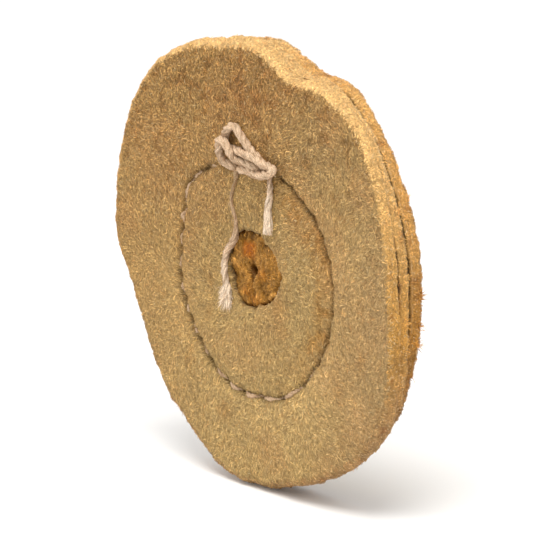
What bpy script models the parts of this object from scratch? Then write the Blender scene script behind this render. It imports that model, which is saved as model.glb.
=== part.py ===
"""A hand-size stitched leather polishing buff.

Three irregular discs of split leather lie face to face and are held by one
oval row of lockstitch.  The front disc has a torn opening that shows a
shellac-hardened hub with a spindle pinhole.  The two thread ends come up
through the first and last needle holes, are looped together on the front
face and hang down it as two tails.

Metres, +Z up.  The wheel stands upright with its axle along Y: the front,
knotted face looks toward -Y, and the origin is on the axle, half way through
the thickness.
"""

import math

import bmesh
import bpy
from mathutils import Vector

MM = 0.001

# ---------------------------------------------------------------- dimensions
NOMINAL_DIAMETER = 100.0  # mm, the trade size; the discs are cut by eye around it
THICKNESS = 10.0  # mm over the three plies
GAP = 0.3  # mm left between faces that touch

FRONT_FACE = -THICKNESS / 2
BACK_FACE = THICKNESS / 2
FRONT_PLY = (FRONT_FACE, -2.0)  # mm along Y, front face to back face
MIDDLE_PLY = (-2.0 + GAP, 1.2)
BACK_PLY = (1.2 + GAP, BACK_FACE)

# Radius every 15 degrees, counter-clockwise from +X seen from the front (mm)
FRONT_OUTLINE = (
    51.6, 52.1, 53.3, 54.7, 51.4, 48.2, 50.7, 51.7,
    54.0, 56.3, 56.0, 54.5, 52.7, 48.5, 47.2, 47.8,
    47.6, 49.0, 49.2, 49.1, 50.5, 52.7, 54.9, 53.1,
)
MIDDLE_OUTLINE = (
    51.0, 51.5, 52.0, 52.5, 50.5, 47.5, 50.0, 51.0,
    52.0, 53.5, 53.0, 51.5, 50.0, 46.0, 44.5, 45.5,
    46.5, 47.5, 48.2, 48.5, 49.5, 51.0, 52.5, 51.5,
)
BACK_OUTLINE = (
    50.3, 50.8, 50.8, 51.0, 50.8, 48.2, 50.0, 50.5,
    51.5, 53.0, 52.5, 51.0, 49.5, 45.8, 44.5, 45.5,
    46.0, 47.2, 48.0, 48.2, 48.8, 48.6, 49.4, 49.6,
)
FRONT_ROUND = 1.1  # mm, the front disc's worn edge
PLY_ROUND = 0.3  # mm, the other discs' cut edges

# The torn opening in the front disc, every 30 degrees (mm)
OPENING = (10.2, 9.4, 8.9, 8.6, 9.2, 9.0, 8.6, 8.3, 8.8, 8.6, 8.4, 9.6)
HUB_CLEARANCE = 0.45  # mm between the opening's edge and the hub
HUB_RECESS = 1.0  # mm, hub face below the front face
HUB_FACE = FRONT_FACE + HUB_RECESS

PINHOLE_DIAMETER = 3.2  # mm, 1/8 in spindle

# The stitch line, radius every 15 degrees (mm)
SEAM = (
    29.2, 28.6, 27.6, 25.6, 24.9, 23.3, 22.9, 22.8,
    25.0, 27.4, 29.4, 28.2, 28.3, 28.8, 28.5, 28.3,
    29.0, 29.2, 28.6, 29.1, 29.3, 29.0, 28.9, 29.4,
)
# Needle holes clockwise from under the knot, in degrees.  Sewn by hand, so the
# stitches are 5 to 10 mm long.
HOLE_ANGLES = (
    80.0, 67.0, 55.0, 45.0, 35.0, 25.0, 14.0, 3.0, -9.0,
    -22.0, -36.0, -51.0, -70.0, -85.0, -99.0, -111.0, -124.0, -136.0,
    -147.0, -157.0, -167.0, -179.0, -190.0, -200.0, -214.0, -228.0, -242.0,
    -255.5,
)
THREAD_R = 0.55  # mm, thread drawn tight in the seam
LEG = 0.8  # mm from a needle hole's middle to each of its two strands
HOLE_HALF_LENGTH = 1.85  # mm along the seam
HOLE_HALF_WIDTH = 1.1  # mm across the seam
LIFT = 0.85  # mm, axis of a strand above the face it lies on
FRONT_DIP = 3.1  # mm, how deep the front thread goes to meet the back one
BACK_DIP = 3.1

END_R = 0.6  # mm, the free ends, no longer under tension
END_DEPTH = 2.6  # mm, where the free ends begin inside their needle holes

# Routes of the two free ends on the front face: X, Z and height above the face
# (mm).  Each starts at its own needle hole, which is added in the code.
SHORT_END = (
    (2.9, 23.6, 0.70), (1.2, 23.9, 0.85), (-1.1, 24.1, 0.85), (-3.3, 24.3, 0.90),
    (-4.8, 24.6, 1.20), (-5.3, 25.4, 1.90), (-5.5, 26.6, 2.50), (-6.1, 27.7, 2.60),
    (-7.5, 28.4, 2.55), (-9.0, 28.2, 2.40), (-11.1, 26.9, 1.55), (-12.2, 25.2, 0.95),
    (-11.6, 24.0, 0.85), (-10.0, 23.1, 0.85), (-7.9, 22.7, 0.85), (-6.5, 22.1, 0.85),
    (-5.7, 20.9, 0.85), (-5.6, 19.4, 0.80), (-6.4, 17.4, 0.80), (-7.0, 15.5, 0.80),
    (-6.9, 13.4, 0.80), (-6.1, 11.5, 0.80), (-5.4, 9.4, 0.80), (-5.4, 7.6, 0.80),
    (-6.6, 5.3, 0.80), (-8.4, 3.2, 0.80), (-9.3, 0.5, 0.80), (-9.3, -1.8, 0.80),
    (-8.7, -3.7, 0.80), (-8.0, -5.7, 0.80), (-8.3, -7.5, 0.80),
)
LONG_END = (
    (-3.8, 22.1, 0.82), (-2.0, 22.4, 0.85), (-0.1, 22.4, 0.90), (2.7, 22.2, 1.40),
    (5.6, 22.5, 2.15), (7.7, 23.0, 2.40), (9.4, 23.5, 2.40), (10.7, 24.3, 2.40),
    (11.0, 24.9, 2.40), (9.9, 25.2, 2.35), (8.1, 25.4, 2.30), (6.2, 25.7, 2.30),
    (4.4, 26.1, 2.40), (2.9, 26.4, 2.35), (0.5, 26.4, 1.75), (-1.9, 26.4, 1.10),
    (-4.5, 26.5, 0.85), (-6.6, 26.6, 0.85), (-8.0, 26.8, 0.80), (-8.7, 27.6, 0.80),
    (-8.6, 29.0, 0.95), (-7.1, 30.7, 1.60), (-5.2, 31.9, 1.90), (-4.1, 31.8, 1.40),
    (-2.9, 30.4, 0.95), (-0.7, 28.7, 0.85), (1.4, 27.2, 0.85), (3.2, 26.1, 0.80),
    (4.8, 24.9, 0.75), (6.1, 24.0, 0.75), (7.1, 22.9, 0.75), (7.6, 21.6, 0.75),
    (8.0, 19.3, 0.80), (7.8, 16.3, 0.80), (7.6, 12.9, 0.80), (7.3, 9.7, 0.80),
)

COLLECTION = "leather_buff"


# ------------------------------------------------------------------ helpers
def clear_scene():
    for obj in list(bpy.data.objects):
        bpy.data.objects.remove(obj, do_unlink=True)


def collection(name):
    found = bpy.data.collections.get(name) or bpy.data.collections.new(name)
    if found.name not in bpy.context.scene.collection.children:
        bpy.context.scene.collection.children.link(found)
    return found


def material(name, colour, roughness, metallic=0.0):
    made = bpy.data.materials.new(name)
    made.use_nodes = True
    shader = made.node_tree.nodes["Principled BSDF"]
    shader.inputs["Base Color"].default_value = (*colour, 1.0)
    shader.inputs["Roughness"].default_value = roughness
    shader.inputs["Metallic"].default_value = metallic
    return made


def smooth_polar(radii, degrees):
    """Radius at an angle, on a periodic Catmull-Rom curve through radii."""
    n = len(radii)
    t = (degrees % 360.0) / 360.0 * n
    i = int(math.floor(t))
    f = t - i
    a, b, c, d = (radii[(i + k) % n] for k in (-1, 0, 1, 2))
    return 0.5 * (
        2 * b
        + (c - a) * f
        + (2 * a - 5 * b + 4 * c - d) * f * f
        + (3 * b - a - 3 * c + d) * f**3
    )


def polar_point(radii, degrees):
    r = smooth_polar(radii, degrees)
    a = math.radians(degrees)
    return (r * math.cos(a), r * math.sin(a))


def outline(radii, count, inset=0.0):
    points = []
    for i in range(count):
        deg = 360.0 * i / count
        r = smooth_polar(radii, deg) - inset
        a = math.radians(deg)
        points.append((r * math.cos(a), r * math.sin(a)))
    return points


def circle(radius, count):
    return [
        (
            radius * math.cos(2 * math.pi * (i + 0.5) / count),
            radius * math.sin(2 * math.pi * (i + 0.5) / count),
        )
        for i in range(count)
    ]


def spline_points(route, steps):
    """Points on the Catmull-Rom curve through a route, its first point included."""
    out = []
    last = len(route) - 1
    for i in range(last):
        p = [Vector(route[max(0, min(last, i + k))]) for k in (-1, 0, 1, 2)]
        for s in range(steps):
            f = s / steps
            out.append(
                0.5
                * (
                    2 * p[1]
                    + (p[2] - p[0]) * f
                    + (2 * p[0] - 5 * p[1] + 4 * p[2] - p[3]) * f * f
                    + (3 * p[1] - p[0] - 3 * p[2] + p[3]) * f**3
                )
            )
    out.append(Vector(route[-1]))
    return out


def finish(obj, name, home, mat):
    obj.name = name
    obj.data.name = name
    obj.data.materials.clear()
    obj.data.materials.append(mat)
    for owner in list(obj.users_collection):
        owner.objects.unlink(obj)
    home.objects.link(obj)
    if obj.type == "MESH":
        obj.data.shade_smooth()
        obj.data.set_sharp_from_angle(angle=math.radians(40))
    return obj


def curve_to_mesh(obj):
    """Replaces a curve by its mesh, with the caps welded on."""
    bpy.context.view_layer.update()
    graph = bpy.context.evaluated_depsgraph_get()
    mesh = bpy.data.meshes.new_from_object(obj.evaluated_get(graph))
    bm = bmesh.new()
    bm.from_mesh(mesh)
    bmesh.ops.remove_doubles(bm, verts=bm.verts, dist=0.000002)
    bmesh.ops.recalc_face_normals(bm, faces=bm.faces)
    bm.to_mesh(mesh)
    bm.free()
    made = bpy.data.objects.new(obj.name + "_mesh", mesh)
    made.matrix_world = obj.matrix_world.copy()
    bpy.context.scene.collection.objects.link(made)
    bpy.data.objects.remove(obj, do_unlink=True)
    return made


def flat_disc(rings, span, rounding):
    """A sheet cut to the first ring and pierced by the others, lying across Y.

    The curve is drawn in its own XY plane and stood up, so its +Z side is
    the front of the wheel.
    """
    low, high = span
    data = bpy.data.curves.new("sheet", "CURVE")
    data.dimensions = "2D"
    data.fill_mode = "BOTH"
    for ring in rings:
        spline = data.splines.new("POLY")
        spline.points.add(len(ring) - 1)
        for point, (x, z) in zip(spline.points, ring):
            point.co = (x * MM, z * MM, 0.0, 1.0)
        spline.use_cyclic_u = True
    data.extrude = ((high - low) / 2 - rounding) * MM
    data.bevel_depth = rounding * MM
    data.bevel_resolution = 1
    data.offset = -rounding * MM
    obj = bpy.data.objects.new("sheet", data)
    bpy.context.scene.collection.objects.link(obj)
    obj.rotation_euler = (math.radians(90), 0.0, 0.0)
    obj.location = (0.0, (low + high) / 2 * MM, 0.0)
    return curve_to_mesh(obj)


def tube(name, points, radius, home, mat, cyclic=False):
    data = bpy.data.curves.new(name, "CURVE")
    data.dimensions = "3D"
    data.bevel_depth = radius * MM
    data.bevel_resolution = 2
    data.use_fill_caps = True
    data.twist_mode = "MINIMUM"
    spline = data.splines.new("POLY")
    spline.points.add(len(points) - 1)
    for point, (x, y, z) in zip(spline.points, points):
        point.co = (x * MM, y * MM, z * MM, 1.0)
    spline.use_cyclic_u = cyclic
    obj = bpy.data.objects.new(name, data)
    bpy.context.scene.collection.objects.link(obj)
    return finish(curve_to_mesh(obj), name, home, mat)


def needle_holes():
    """Middle of each needle hole and the seam's direction there (X, Z)."""
    holes = []
    for deg in HOLE_ANGLES:
        here = Vector(polar_point(SEAM, deg))
        ahead = Vector(polar_point(SEAM, deg - 0.5))
        holes.append((here, (ahead - here).normalized()))
    return holes


def pierce(obj, holes, depth, cutters):
    """Cuts every needle hole out of a disc."""
    bm = bmesh.new()
    for middle, along in holes:
        made = bmesh.ops.create_cone(
            bm, cap_ends=True, segments=8, radius1=1.0, radius2=1.0, depth=1.0
        )
        angle = math.atan2(along.y, along.x)
        for vert in made["verts"]:
            # local z becomes the wheel's Y; x runs along the seam
            turn = math.radians(22.5)
            x = vert.co.x * math.cos(turn) - vert.co.y * math.sin(turn)
            y = vert.co.x * math.sin(turn) + vert.co.y * math.cos(turn)
            x *= HOLE_HALF_LENGTH / math.cos(turn)
            y *= HOLE_HALF_WIDTH / math.cos(turn)
            px = middle.x + x * math.cos(angle) - y * math.sin(angle)
            pz = middle.y + x * math.sin(angle) + y * math.cos(angle)
            vert.co = (px * MM, vert.co.z * depth * MM, pz * MM)
    bmesh.ops.recalc_face_normals(bm, faces=bm.faces)
    mesh = bpy.data.meshes.new("needle_cutter")
    bm.to_mesh(mesh)
    bm.free()
    cutter = bpy.data.objects.new("needle_cutter", mesh)
    cutters.objects.link(cutter)
    cutter.hide_render = True
    cutter.display_type = "WIRE"
    cut = obj.modifiers.new("needle_holes", "BOOLEAN")
    cut.operation = "DIFFERENCE"
    cut.solver = "EXACT"
    cut.object = cutter


def seam_thread(holes, face, sign, dip):
    """One thread of the lockstitch.

    It lies on its face between needle holes and dips into each one to pass
    the other thread.  sign is -1 for the front face and +1 for the back.
    """
    on_top = face + sign * LIFT
    deep = face - sign * dip
    points = []
    for j, (middle, along) in enumerate(holes):
        before = middle - along * LEG
        after = middle + along * LEG
        if j:
            # where the strand reaches the hole, then its way down
            points.append((before.x, on_top, before.y))
            points.append((before.x, deep, before.y))
        if j < len(holes) - 1:
            points.append((after.x, deep, after.y))
            points.append((after.x, on_top, after.y))
            # a stitch is drawn slightly outward in its middle
            nxt = holes[j + 1][0] - holes[j + 1][1] * LEG
            mid = (after + nxt) / 2
            points.append((mid.x, on_top + sign * 0.1, mid.y))
    return points


def free_end(hole, side, route):
    """A free end: up out of its needle hole, then along its route."""
    middle, along = hole
    start = middle + along * LEG * side
    face = FRONT_FACE
    way = [
        (start.x, face + END_DEPTH, start.y),
        (start.x, face + END_DEPTH / 2, start.y),
        (start.x, face + 0.1, start.y),
    ]
    way += [(x, face - h, z) for x, z, h in route]
    return spline_points(way, 2)


# -------------------------------------------------------------------- build
def main():
    clear_scene()
    home = collection(COLLECTION)
    cutters = collection("cutters")

    suede = material("suede_split", (0.50, 0.33, 0.14), 0.95)
    suede_mid = material("suede_split_middle", (0.56, 0.35, 0.11), 0.95)
    suede_back = material("suede_split_back", (0.54, 0.33, 0.10), 0.95)
    shellac = material("shellac_leather", (0.36, 0.17, 0.04), 0.5)
    cotton = material("cotton_twine", (0.66, 0.54, 0.42), 0.9)

    holes = needle_holes()
    opening = outline(OPENING, 36)

    front = flat_disc([outline(FRONT_OUTLINE, 96), opening], FRONT_PLY, FRONT_ROUND)
    pierce(front, holes, 40.0, cutters)
    finish(front, "front_ply", home, suede)

    for name, radii, span, mat in (
        ("middle_ply", MIDDLE_OUTLINE, MIDDLE_PLY, suede_mid),
        ("back_ply", BACK_OUTLINE, BACK_PLY, suede_back),
    ):
        rings = [outline(radii, 96), circle(PINHOLE_DIAMETER / 2 + 0.1, 12)]
        ply = flat_disc(rings, span, PLY_ROUND)
        pierce(ply, holes, 40.0, cutters)
        finish(ply, name, home, mat)

    rings = [outline(OPENING, 36, HUB_CLEARANCE), circle(PINHOLE_DIAMETER / 2, 12)]
    hub = flat_disc(rings, (HUB_FACE, FRONT_PLY[1]), 0.25)
    finish(hub, "hardened_hub", home, shellac)

    tube(
        "seam_thread_front",
        seam_thread(holes[1:-1], FRONT_FACE, -1, FRONT_DIP),
        THREAD_R, home, cotton,
    )
    tube(
        "seam_thread_back",
        seam_thread(holes, BACK_FACE, 1, BACK_DIP),
        THREAD_R, home, cotton,
    )
    tube("twine_end_short", free_end(holes[0], -1, SHORT_END), END_R, home, cotton)
    tube("twine_end_long", free_end(holes[-1], 1, LONG_END), END_R, home, cotton)


main()
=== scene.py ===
"""Looks of the stitched leather polishing wheel.

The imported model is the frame.  Every CAD solid is replaced by a detailed mesh
that lies where it lies: napped leather discs with cut, fibrous edges, twisted
twine in the seam and in the two knotted ends, and a shellac-soaked hub.
"""

import math

import bpy
import numpy as np
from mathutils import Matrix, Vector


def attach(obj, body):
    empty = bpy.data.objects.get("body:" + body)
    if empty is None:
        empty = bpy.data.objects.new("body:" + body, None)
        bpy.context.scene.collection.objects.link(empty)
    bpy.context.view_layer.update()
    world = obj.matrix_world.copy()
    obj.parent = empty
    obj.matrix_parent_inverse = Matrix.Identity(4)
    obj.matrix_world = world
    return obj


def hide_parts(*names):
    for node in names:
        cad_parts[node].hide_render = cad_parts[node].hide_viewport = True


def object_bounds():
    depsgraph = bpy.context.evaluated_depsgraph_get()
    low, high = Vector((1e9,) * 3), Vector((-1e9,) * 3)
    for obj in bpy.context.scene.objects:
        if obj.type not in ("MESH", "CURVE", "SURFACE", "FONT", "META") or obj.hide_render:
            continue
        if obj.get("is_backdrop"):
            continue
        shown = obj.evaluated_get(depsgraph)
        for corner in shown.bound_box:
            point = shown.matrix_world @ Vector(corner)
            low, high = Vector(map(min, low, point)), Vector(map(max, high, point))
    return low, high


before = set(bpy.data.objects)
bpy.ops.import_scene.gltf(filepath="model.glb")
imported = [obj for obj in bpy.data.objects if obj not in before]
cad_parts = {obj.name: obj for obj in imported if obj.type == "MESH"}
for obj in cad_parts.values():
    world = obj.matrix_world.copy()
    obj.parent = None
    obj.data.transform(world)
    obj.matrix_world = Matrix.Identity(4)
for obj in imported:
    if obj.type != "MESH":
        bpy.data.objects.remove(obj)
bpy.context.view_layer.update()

MM = 0.001
RNG = np.random.default_rng(20261)

# ------------------------------------------------------------------ the wheel
# Sizes in mm, as in the CAD model: X right, Y front to back, Z up.
FRONT_FACE, BACK_FACE = -5.0, 5.0
FRONT_PLY, MIDDLE_PLY, BACK_PLY = (-5.0, -2.0), (-1.7, 1.2), (1.5, 5.0)
FRONT_OUTLINE = (
    51.6, 52.1, 53.3, 54.7, 51.4, 48.2, 50.7, 51.7,
    54.0, 56.3, 56.0, 54.5, 52.7, 48.5, 47.2, 47.8,
    47.6, 49.0, 49.2, 49.1, 50.5, 52.7, 54.9, 53.1,
)
MIDDLE_OUTLINE = (
    51.0, 51.5, 52.0, 52.5, 50.5, 47.5, 50.0, 51.0,
    52.0, 53.5, 53.0, 51.5, 50.0, 46.0, 44.5, 45.5,
    46.5, 47.5, 48.2, 48.5, 49.5, 51.0, 52.5, 51.5,
)
BACK_OUTLINE = (
    50.3, 50.8, 50.8, 51.0, 50.8, 48.2, 50.0, 50.5,
    51.5, 53.0, 52.5, 51.0, 49.5, 45.8, 44.5, 45.5,
    46.0, 47.2, 48.0, 48.2, 48.8, 48.6, 49.4, 49.6,
)
OPENING = (10.2, 9.4, 8.9, 8.6, 9.2, 9.0, 8.6, 8.3, 8.8, 8.6, 8.4, 9.6)
SEAM = (
    29.2, 28.6, 27.6, 25.6, 24.9, 23.3, 22.9, 22.8,
    25.0, 27.4, 29.4, 28.2, 28.3, 28.8, 28.5, 28.3,
    29.0, 29.2, 28.6, 29.1, 29.3, 29.0, 28.9, 29.4,
)
HOLE_ANGLES = (
    80.0, 67.0, 55.0, 45.0, 35.0, 25.0, 14.0, 3.0, -9.0,
    -22.0, -36.0, -51.0, -70.0, -85.0, -99.0, -111.0, -124.0, -136.0,
    -147.0, -157.0, -167.0, -179.0, -190.0, -200.0, -214.0, -228.0, -242.0,
    -255.5,
)
LEG = 0.8
SHORT_END = (
    (2.9, 23.6, 0.70), (1.2, 23.9, 0.85), (-1.1, 24.1, 0.85), (-3.3, 24.3, 0.90),
    (-4.8, 24.6, 1.20), (-5.3, 25.4, 1.90), (-5.5, 26.6, 2.50), (-6.1, 27.7, 2.60),
    (-7.5, 28.4, 2.55), (-9.0, 28.2, 2.40), (-11.1, 26.9, 1.55), (-12.2, 25.2, 0.95),
    (-11.6, 24.0, 0.85), (-10.0, 23.1, 0.85), (-7.9, 22.7, 0.85), (-6.5, 22.1, 0.85),
    (-5.7, 20.9, 0.85), (-5.6, 19.4, 0.80), (-6.4, 17.4, 0.80), (-7.0, 15.5, 0.80),
    (-6.9, 13.4, 0.80), (-6.1, 11.5, 0.80), (-5.4, 9.4, 0.80), (-5.4, 7.6, 0.80),
    (-6.6, 5.3, 0.80), (-8.4, 3.2, 0.80), (-9.3, 0.5, 0.80), (-9.3, -1.8, 0.80),
    (-8.7, -3.7, 0.80), (-8.0, -5.7, 0.80), (-8.3, -7.5, 0.80),
)
LONG_END = (
    (-3.8, 22.1, 0.82), (-2.0, 22.4, 0.85), (-0.1, 22.4, 0.90), (2.7, 22.2, 1.40),
    (5.6, 22.5, 2.15), (7.7, 23.0, 2.40), (9.4, 23.5, 2.40), (10.7, 24.3, 2.40),
    (11.0, 24.9, 2.40), (9.9, 25.2, 2.35), (8.1, 25.4, 2.30), (6.2, 25.7, 2.30),
    (4.4, 26.1, 2.40), (2.9, 26.4, 2.35), (0.5, 26.4, 1.75), (-1.9, 26.4, 1.10),
    (-4.5, 26.5, 0.85), (-6.6, 26.6, 0.85), (-8.0, 26.8, 0.80), (-8.7, 27.6, 0.80),
    (-8.6, 29.0, 0.95), (-7.1, 30.7, 1.60), (-5.2, 31.9, 1.90), (-4.1, 31.8, 1.40),
    (-2.9, 30.4, 0.95), (-0.7, 28.7, 0.85), (1.4, 27.2, 0.85), (3.2, 26.1, 0.80),
    (4.8, 24.9, 0.75), (6.1, 24.0, 0.75), (7.1, 22.9, 0.75), (7.6, 21.6, 0.75),
    (8.0, 19.3, 0.80), (7.8, 16.3, 0.80), (7.6, 12.9, 0.80), (7.3, 9.7, 0.80),
)


# --------------------------------------------------------------- camera first
AZIMUTH, ELEVATION = math.radians(54.0), math.radians(12.5)
PX_PER_MM = 4.5  # of a 533 px wide picture, at the wheel
DISTANCE = 1.6
back = np.array(
    [
        math.sin(AZIMUTH) * math.cos(ELEVATION),
        -math.cos(AZIMUTH) * math.cos(ELEVATION),
        math.sin(ELEVATION),
    ]
)
right = np.array([math.cos(AZIMUTH), math.sin(AZIMUTH), 0.0])
up = np.cross(back, right)
centre = (-right * 3.7 + up * 0.6) / PX_PER_MM * MM
cam_data = bpy.data.cameras.new("camera")
cam_data.sensor_width = 36.0
cam_data.lens = 36.0 * DISTANCE / (533 / PX_PER_MM * MM)
cam_data.clip_start, cam_data.clip_end = 0.05, 60.0
cam = bpy.data.objects.new("camera", cam_data)
bpy.context.scene.collection.objects.link(cam)
cam.location = centre + back * DISTANCE
from mathutils import Vector

cam.rotation_mode = "QUATERNION"
cam.rotation_quaternion = Vector(-back).to_track_quat("-Z", "Y")
bpy.context.scene.camera = cam


# --------------------------------------------------------------------- curves
def polar(radii, theta):
    """Radius at angles theta (radians) on a periodic Catmull-Rom curve."""
    radii = np.asarray(radii, float)
    n = len(radii)
    t = np.mod(theta, 2 * np.pi) / (2 * np.pi) * n
    i = np.floor(t).astype(int)
    f = t - i
    a, b, c, d = (radii[(i + k) % n] for k in (-1, 0, 1, 2))
    return 0.5 * (
        2 * b + (c - a) * f + (2 * a - 5 * b + 4 * c - d) * f**2
        + (3 * b - a - 3 * c + d) * f**3
    )


def catmull(route, step):
    """Points about step apart on the Catmull-Rom curve through a route."""
    p = np.asarray(route, float)
    p = np.vstack([2 * p[0] - p[1], p, 2 * p[-1] - p[-2]])
    out = []
    for k in range(1, len(p) - 2):
        a, b, c, d = p[k - 1 : k + 3]
        n = max(2, int(np.linalg.norm(c - b) / step * 1.1))
        f = np.linspace(0, 1, n, endpoint=False)[:, None]
        out.append(
            0.5 * (2 * b + (c - a) * f + (2 * a - 5 * b + 4 * c - d) * f**2
                   + (3 * b - a - 3 * c + d) * f**3)
        )
    out.append(p[-2:-1])
    return resample(np.vstack(out), step)


def resample(points, step):
    gaps = np.linalg.norm(np.diff(points, axis=0), axis=1)
    s = np.concatenate([[0], np.cumsum(gaps)])
    n = max(3, int(round(s[-1] / step)) + 1)
    t = np.linspace(0, s[-1], n)
    return np.stack([np.interp(t, s, points[:, k]) for k in range(points.shape[1])], 1)


# ---------------------------------------------------------------------- noise
def lattice(seed):
    return np.random.default_rng(seed).random(4096)


def hash3(ix, iy, iz, table):
    h = (ix * 73856093) ^ (iy * 19349663) ^ (iz * 83492791)
    return table[np.mod(h, 4096)]


def noise3(x, y, z, size, seed):
    """Smooth value noise from -1 to 1, with cells of that size in mm."""
    table = lattice(seed)
    x, y, z = x / size + 51.3, y / size + 17.9, z / size + 33.7
    ix, iy, iz = (np.floor(v).astype(np.int64) for v in (x, y, z))
    fx, fy, fz = x - ix, y - iy, z - iz
    fx, fy, fz = (v * v * (3 - 2 * v) for v in (fx, fy, fz))
    out = 0.0
    for dx in (0, 1):
        wx = fx if dx else 1 - fx
        for dy in (0, 1):
            wy = fy if dy else 1 - fy
            for dz in (0, 1):
                wz = fz if dz else 1 - fz
                out = out + wx * wy * wz * hash3(ix + dx, iy + dy, iz + dz, table)
    return out * 2 - 1


def fractal(x, y, z, size, seed, octaves=3):
    out, amp, total = 0.0, 1.0, 0.0
    for k in range(octaves):
        out = out + amp * noise3(x, y, z, size / 2**k, seed + k)
        total += amp
        amp *= 0.55
    return out / total


# --------------------------------------------------------------- needle holes
def needle_holes():
    """Middle of each needle hole and the seam's direction there, clockwise."""
    ang = np.radians(np.array(HOLE_ANGLES))
    mid = np.stack([polar(SEAM, ang) * np.cos(ang), polar(SEAM, ang) * np.sin(ang)], 1)
    on = ang - math.radians(0.5)
    ahead = np.stack([polar(SEAM, on) * np.cos(on), polar(SEAM, on) * np.sin(on)], 1)
    along = ahead - mid
    return mid, along / np.linalg.norm(along, axis=1)[:, None]


HOLES, ALONG = needle_holes()


# ---------------------------------------------------------- relief of a face
def seam_distance(x, z):
    """Signed distance from the seam, positive outside, and a 0..1 mask of where it is sewn."""
    th = np.arctan2(z, x)
    r = np.hypot(x, z)
    rs = polar(SEAM, th)
    slope = (polar(SEAM, th + 0.02) - polar(SEAM, th - 0.02)) / 0.04
    d = (r - rs) / np.sqrt(1 + (slope / np.maximum(rs, 1)) ** 2)
    deg = np.degrees(np.mod(th, 2 * np.pi))
    gap = np.clip((deg - 66.0) / 4, 0, 1) * np.clip((134.0 - deg) / 14, 0, 1)
    return d, 1 - 0.6 * gap


def relief(x, z, seed, fine=True, front=True):
    """How far a leather face stands proud of its flat plane, in mm."""
    d, sewn = seam_distance(x, z)
    d = d + 0.25 * noise3(x, 0 * x, z, 3.5, seed + 7)
    # the seam draws the leather in; the fold is sharper on the outer side
    h = -1.25 * sewn * np.exp(-np.abs(d) / np.where(d > 0, 0.62, 0.85))
    h += -0.36 * sewn * np.exp(-((d / 5.0) ** 2))
    h += 0.34 * np.exp(-((d + 7.0) / 5.0) ** 2) + 0.30 * np.exp(-((d - 6.5) / 5.5) ** 2)
    # needle holes and the small gathers that run out from them
    for (hx, hz), (ax, az) in zip(HOLES, ALONG):
        u = (x - hx) * ax + (z - hz) * az
        v = -(x - hx) * az + (z - hz) * ax
        h -= 0.95 * np.exp(-((u / 0.85) ** 2) - (v / 0.8) ** 2)
        h -= 0.22 * np.exp(-((u / 0.8) ** 2) - (v / 3.2) ** 2)
    # slow unevenness of hand-cut leather
    h += 0.34 * noise3(x, 0 * x, z, 23.0, seed + 1) + 0.16 * noise3(x, 0 * x, z, 9.0, seed + 2)
    if front:
        r = np.hypot(x, z)
        edge = r - polar(OPENING, np.arctan2(z, x))
        h += 0.26 * np.exp(-((edge - 0.9) / 1.1) ** 2)
    if fine:
        h += 0.10 * noise3(x, 0 * x, z, 2.6, seed + 3)
        h += 0.07 * noise3(x, 0 * x, z, 1.1, seed + 4)
        h += 0.05 * noise3(x, 0 * x, z, 0.55, seed + 5)
    return h


# ---------------------------------------------------------------- mesh output
def new_mesh(name, verts, faces, smooth=True, colours=None):
    """An object from vertices in mm and an (n, 3) or (n, 4) face array."""
    mesh = bpy.data.meshes.new(name)
    verts = np.asarray(verts, np.float32) * MM
    faces = np.asarray(faces, np.int32)
    k = faces.shape[1]
    mesh.vertices.add(len(verts))
    mesh.vertices.foreach_set("co", verts.ravel())
    mesh.loops.add(faces.size)
    mesh.loops.foreach_set("vertex_index", faces.ravel())
    mesh.polygons.add(len(faces))
    mesh.polygons.foreach_set("loop_start", np.arange(0, faces.size, k, dtype=np.int32))
    mesh.polygons.foreach_set("loop_total", np.full(len(faces), k, np.int32))
    mesh.update(calc_edges=True)
    mesh.polygons.foreach_set("use_smooth", np.full(len(faces), smooth))
    if colours is not None:
        layer = mesh.color_attributes.new("tint", "FLOAT_COLOR", "POINT")
        rgba = np.ones((len(verts), 4), np.float32)
        rgba[:, :3] = colours
        layer.data.foreach_set("color", rgba.ravel())
    mesh.validate()
    obj = bpy.data.objects.new(name, mesh)
    bpy.context.scene.collection.objects.link(obj)
    return obj


def grid_faces(n, m):
    """Quads of a grid that is closed both ways, n round the wheel and m round the section."""
    i, j = np.meshgrid(np.arange(n), np.arange(m), indexing="ij")
    a = i * m + j
    b = ((i + 1) % n) * m + j
    c = ((i + 1) % n) * m + (j + 1) % m
    d = i * m + (j + 1) % m
    return np.stack([a, d, c, b], -1).reshape(-1, 4)


def grid_normals(P):
    """Unit normals of a closed grid P[i, j]; i runs with the angle, j round the section."""
    du = np.roll(P, -1, 0) - np.roll(P, 1, 0)
    dv = np.roll(P, -1, 1) - np.roll(P, 1, 1)
    n = np.cross(dv, du)
    return n / np.maximum(np.linalg.norm(n, axis=2, keepdims=True), 1e-9)


# --------------------------------------------------------------- leather discs
def srgb(r, g, b):
    c = np.array([r, g, b], float) / 255
    return np.where(c <= 0.04045, c / 12.92, ((c + 0.055) / 1.055) ** 2.4)


def mix(a, b, t):
    t = np.asarray(t)[..., None]
    return a * (1 - t) + b * t


NAP_LOW = 1.03 * srgb(188, 158, 103)
NAP_TOP = 1.03 * srgb(164, 128, 75)
NAP_LEFT = 0.94 * srgb(184, 144, 87)
NAP_RIGHT = 0.84 * srgb(181, 148, 100)
NAP_LIP = 0.80 * srgb(176, 132, 90)
# the rim's pale top colour: painted light of the overhead lamp
EDGE_TOP_LIGHT = 0.95 * srgb(238, 198, 134)
EDGE_GOLD = 0.90 * srgb(208, 157, 80)
EDGE_LOW = 0.90 * srgb(188, 148, 98)
RUST = srgb(150, 92, 44)


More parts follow.
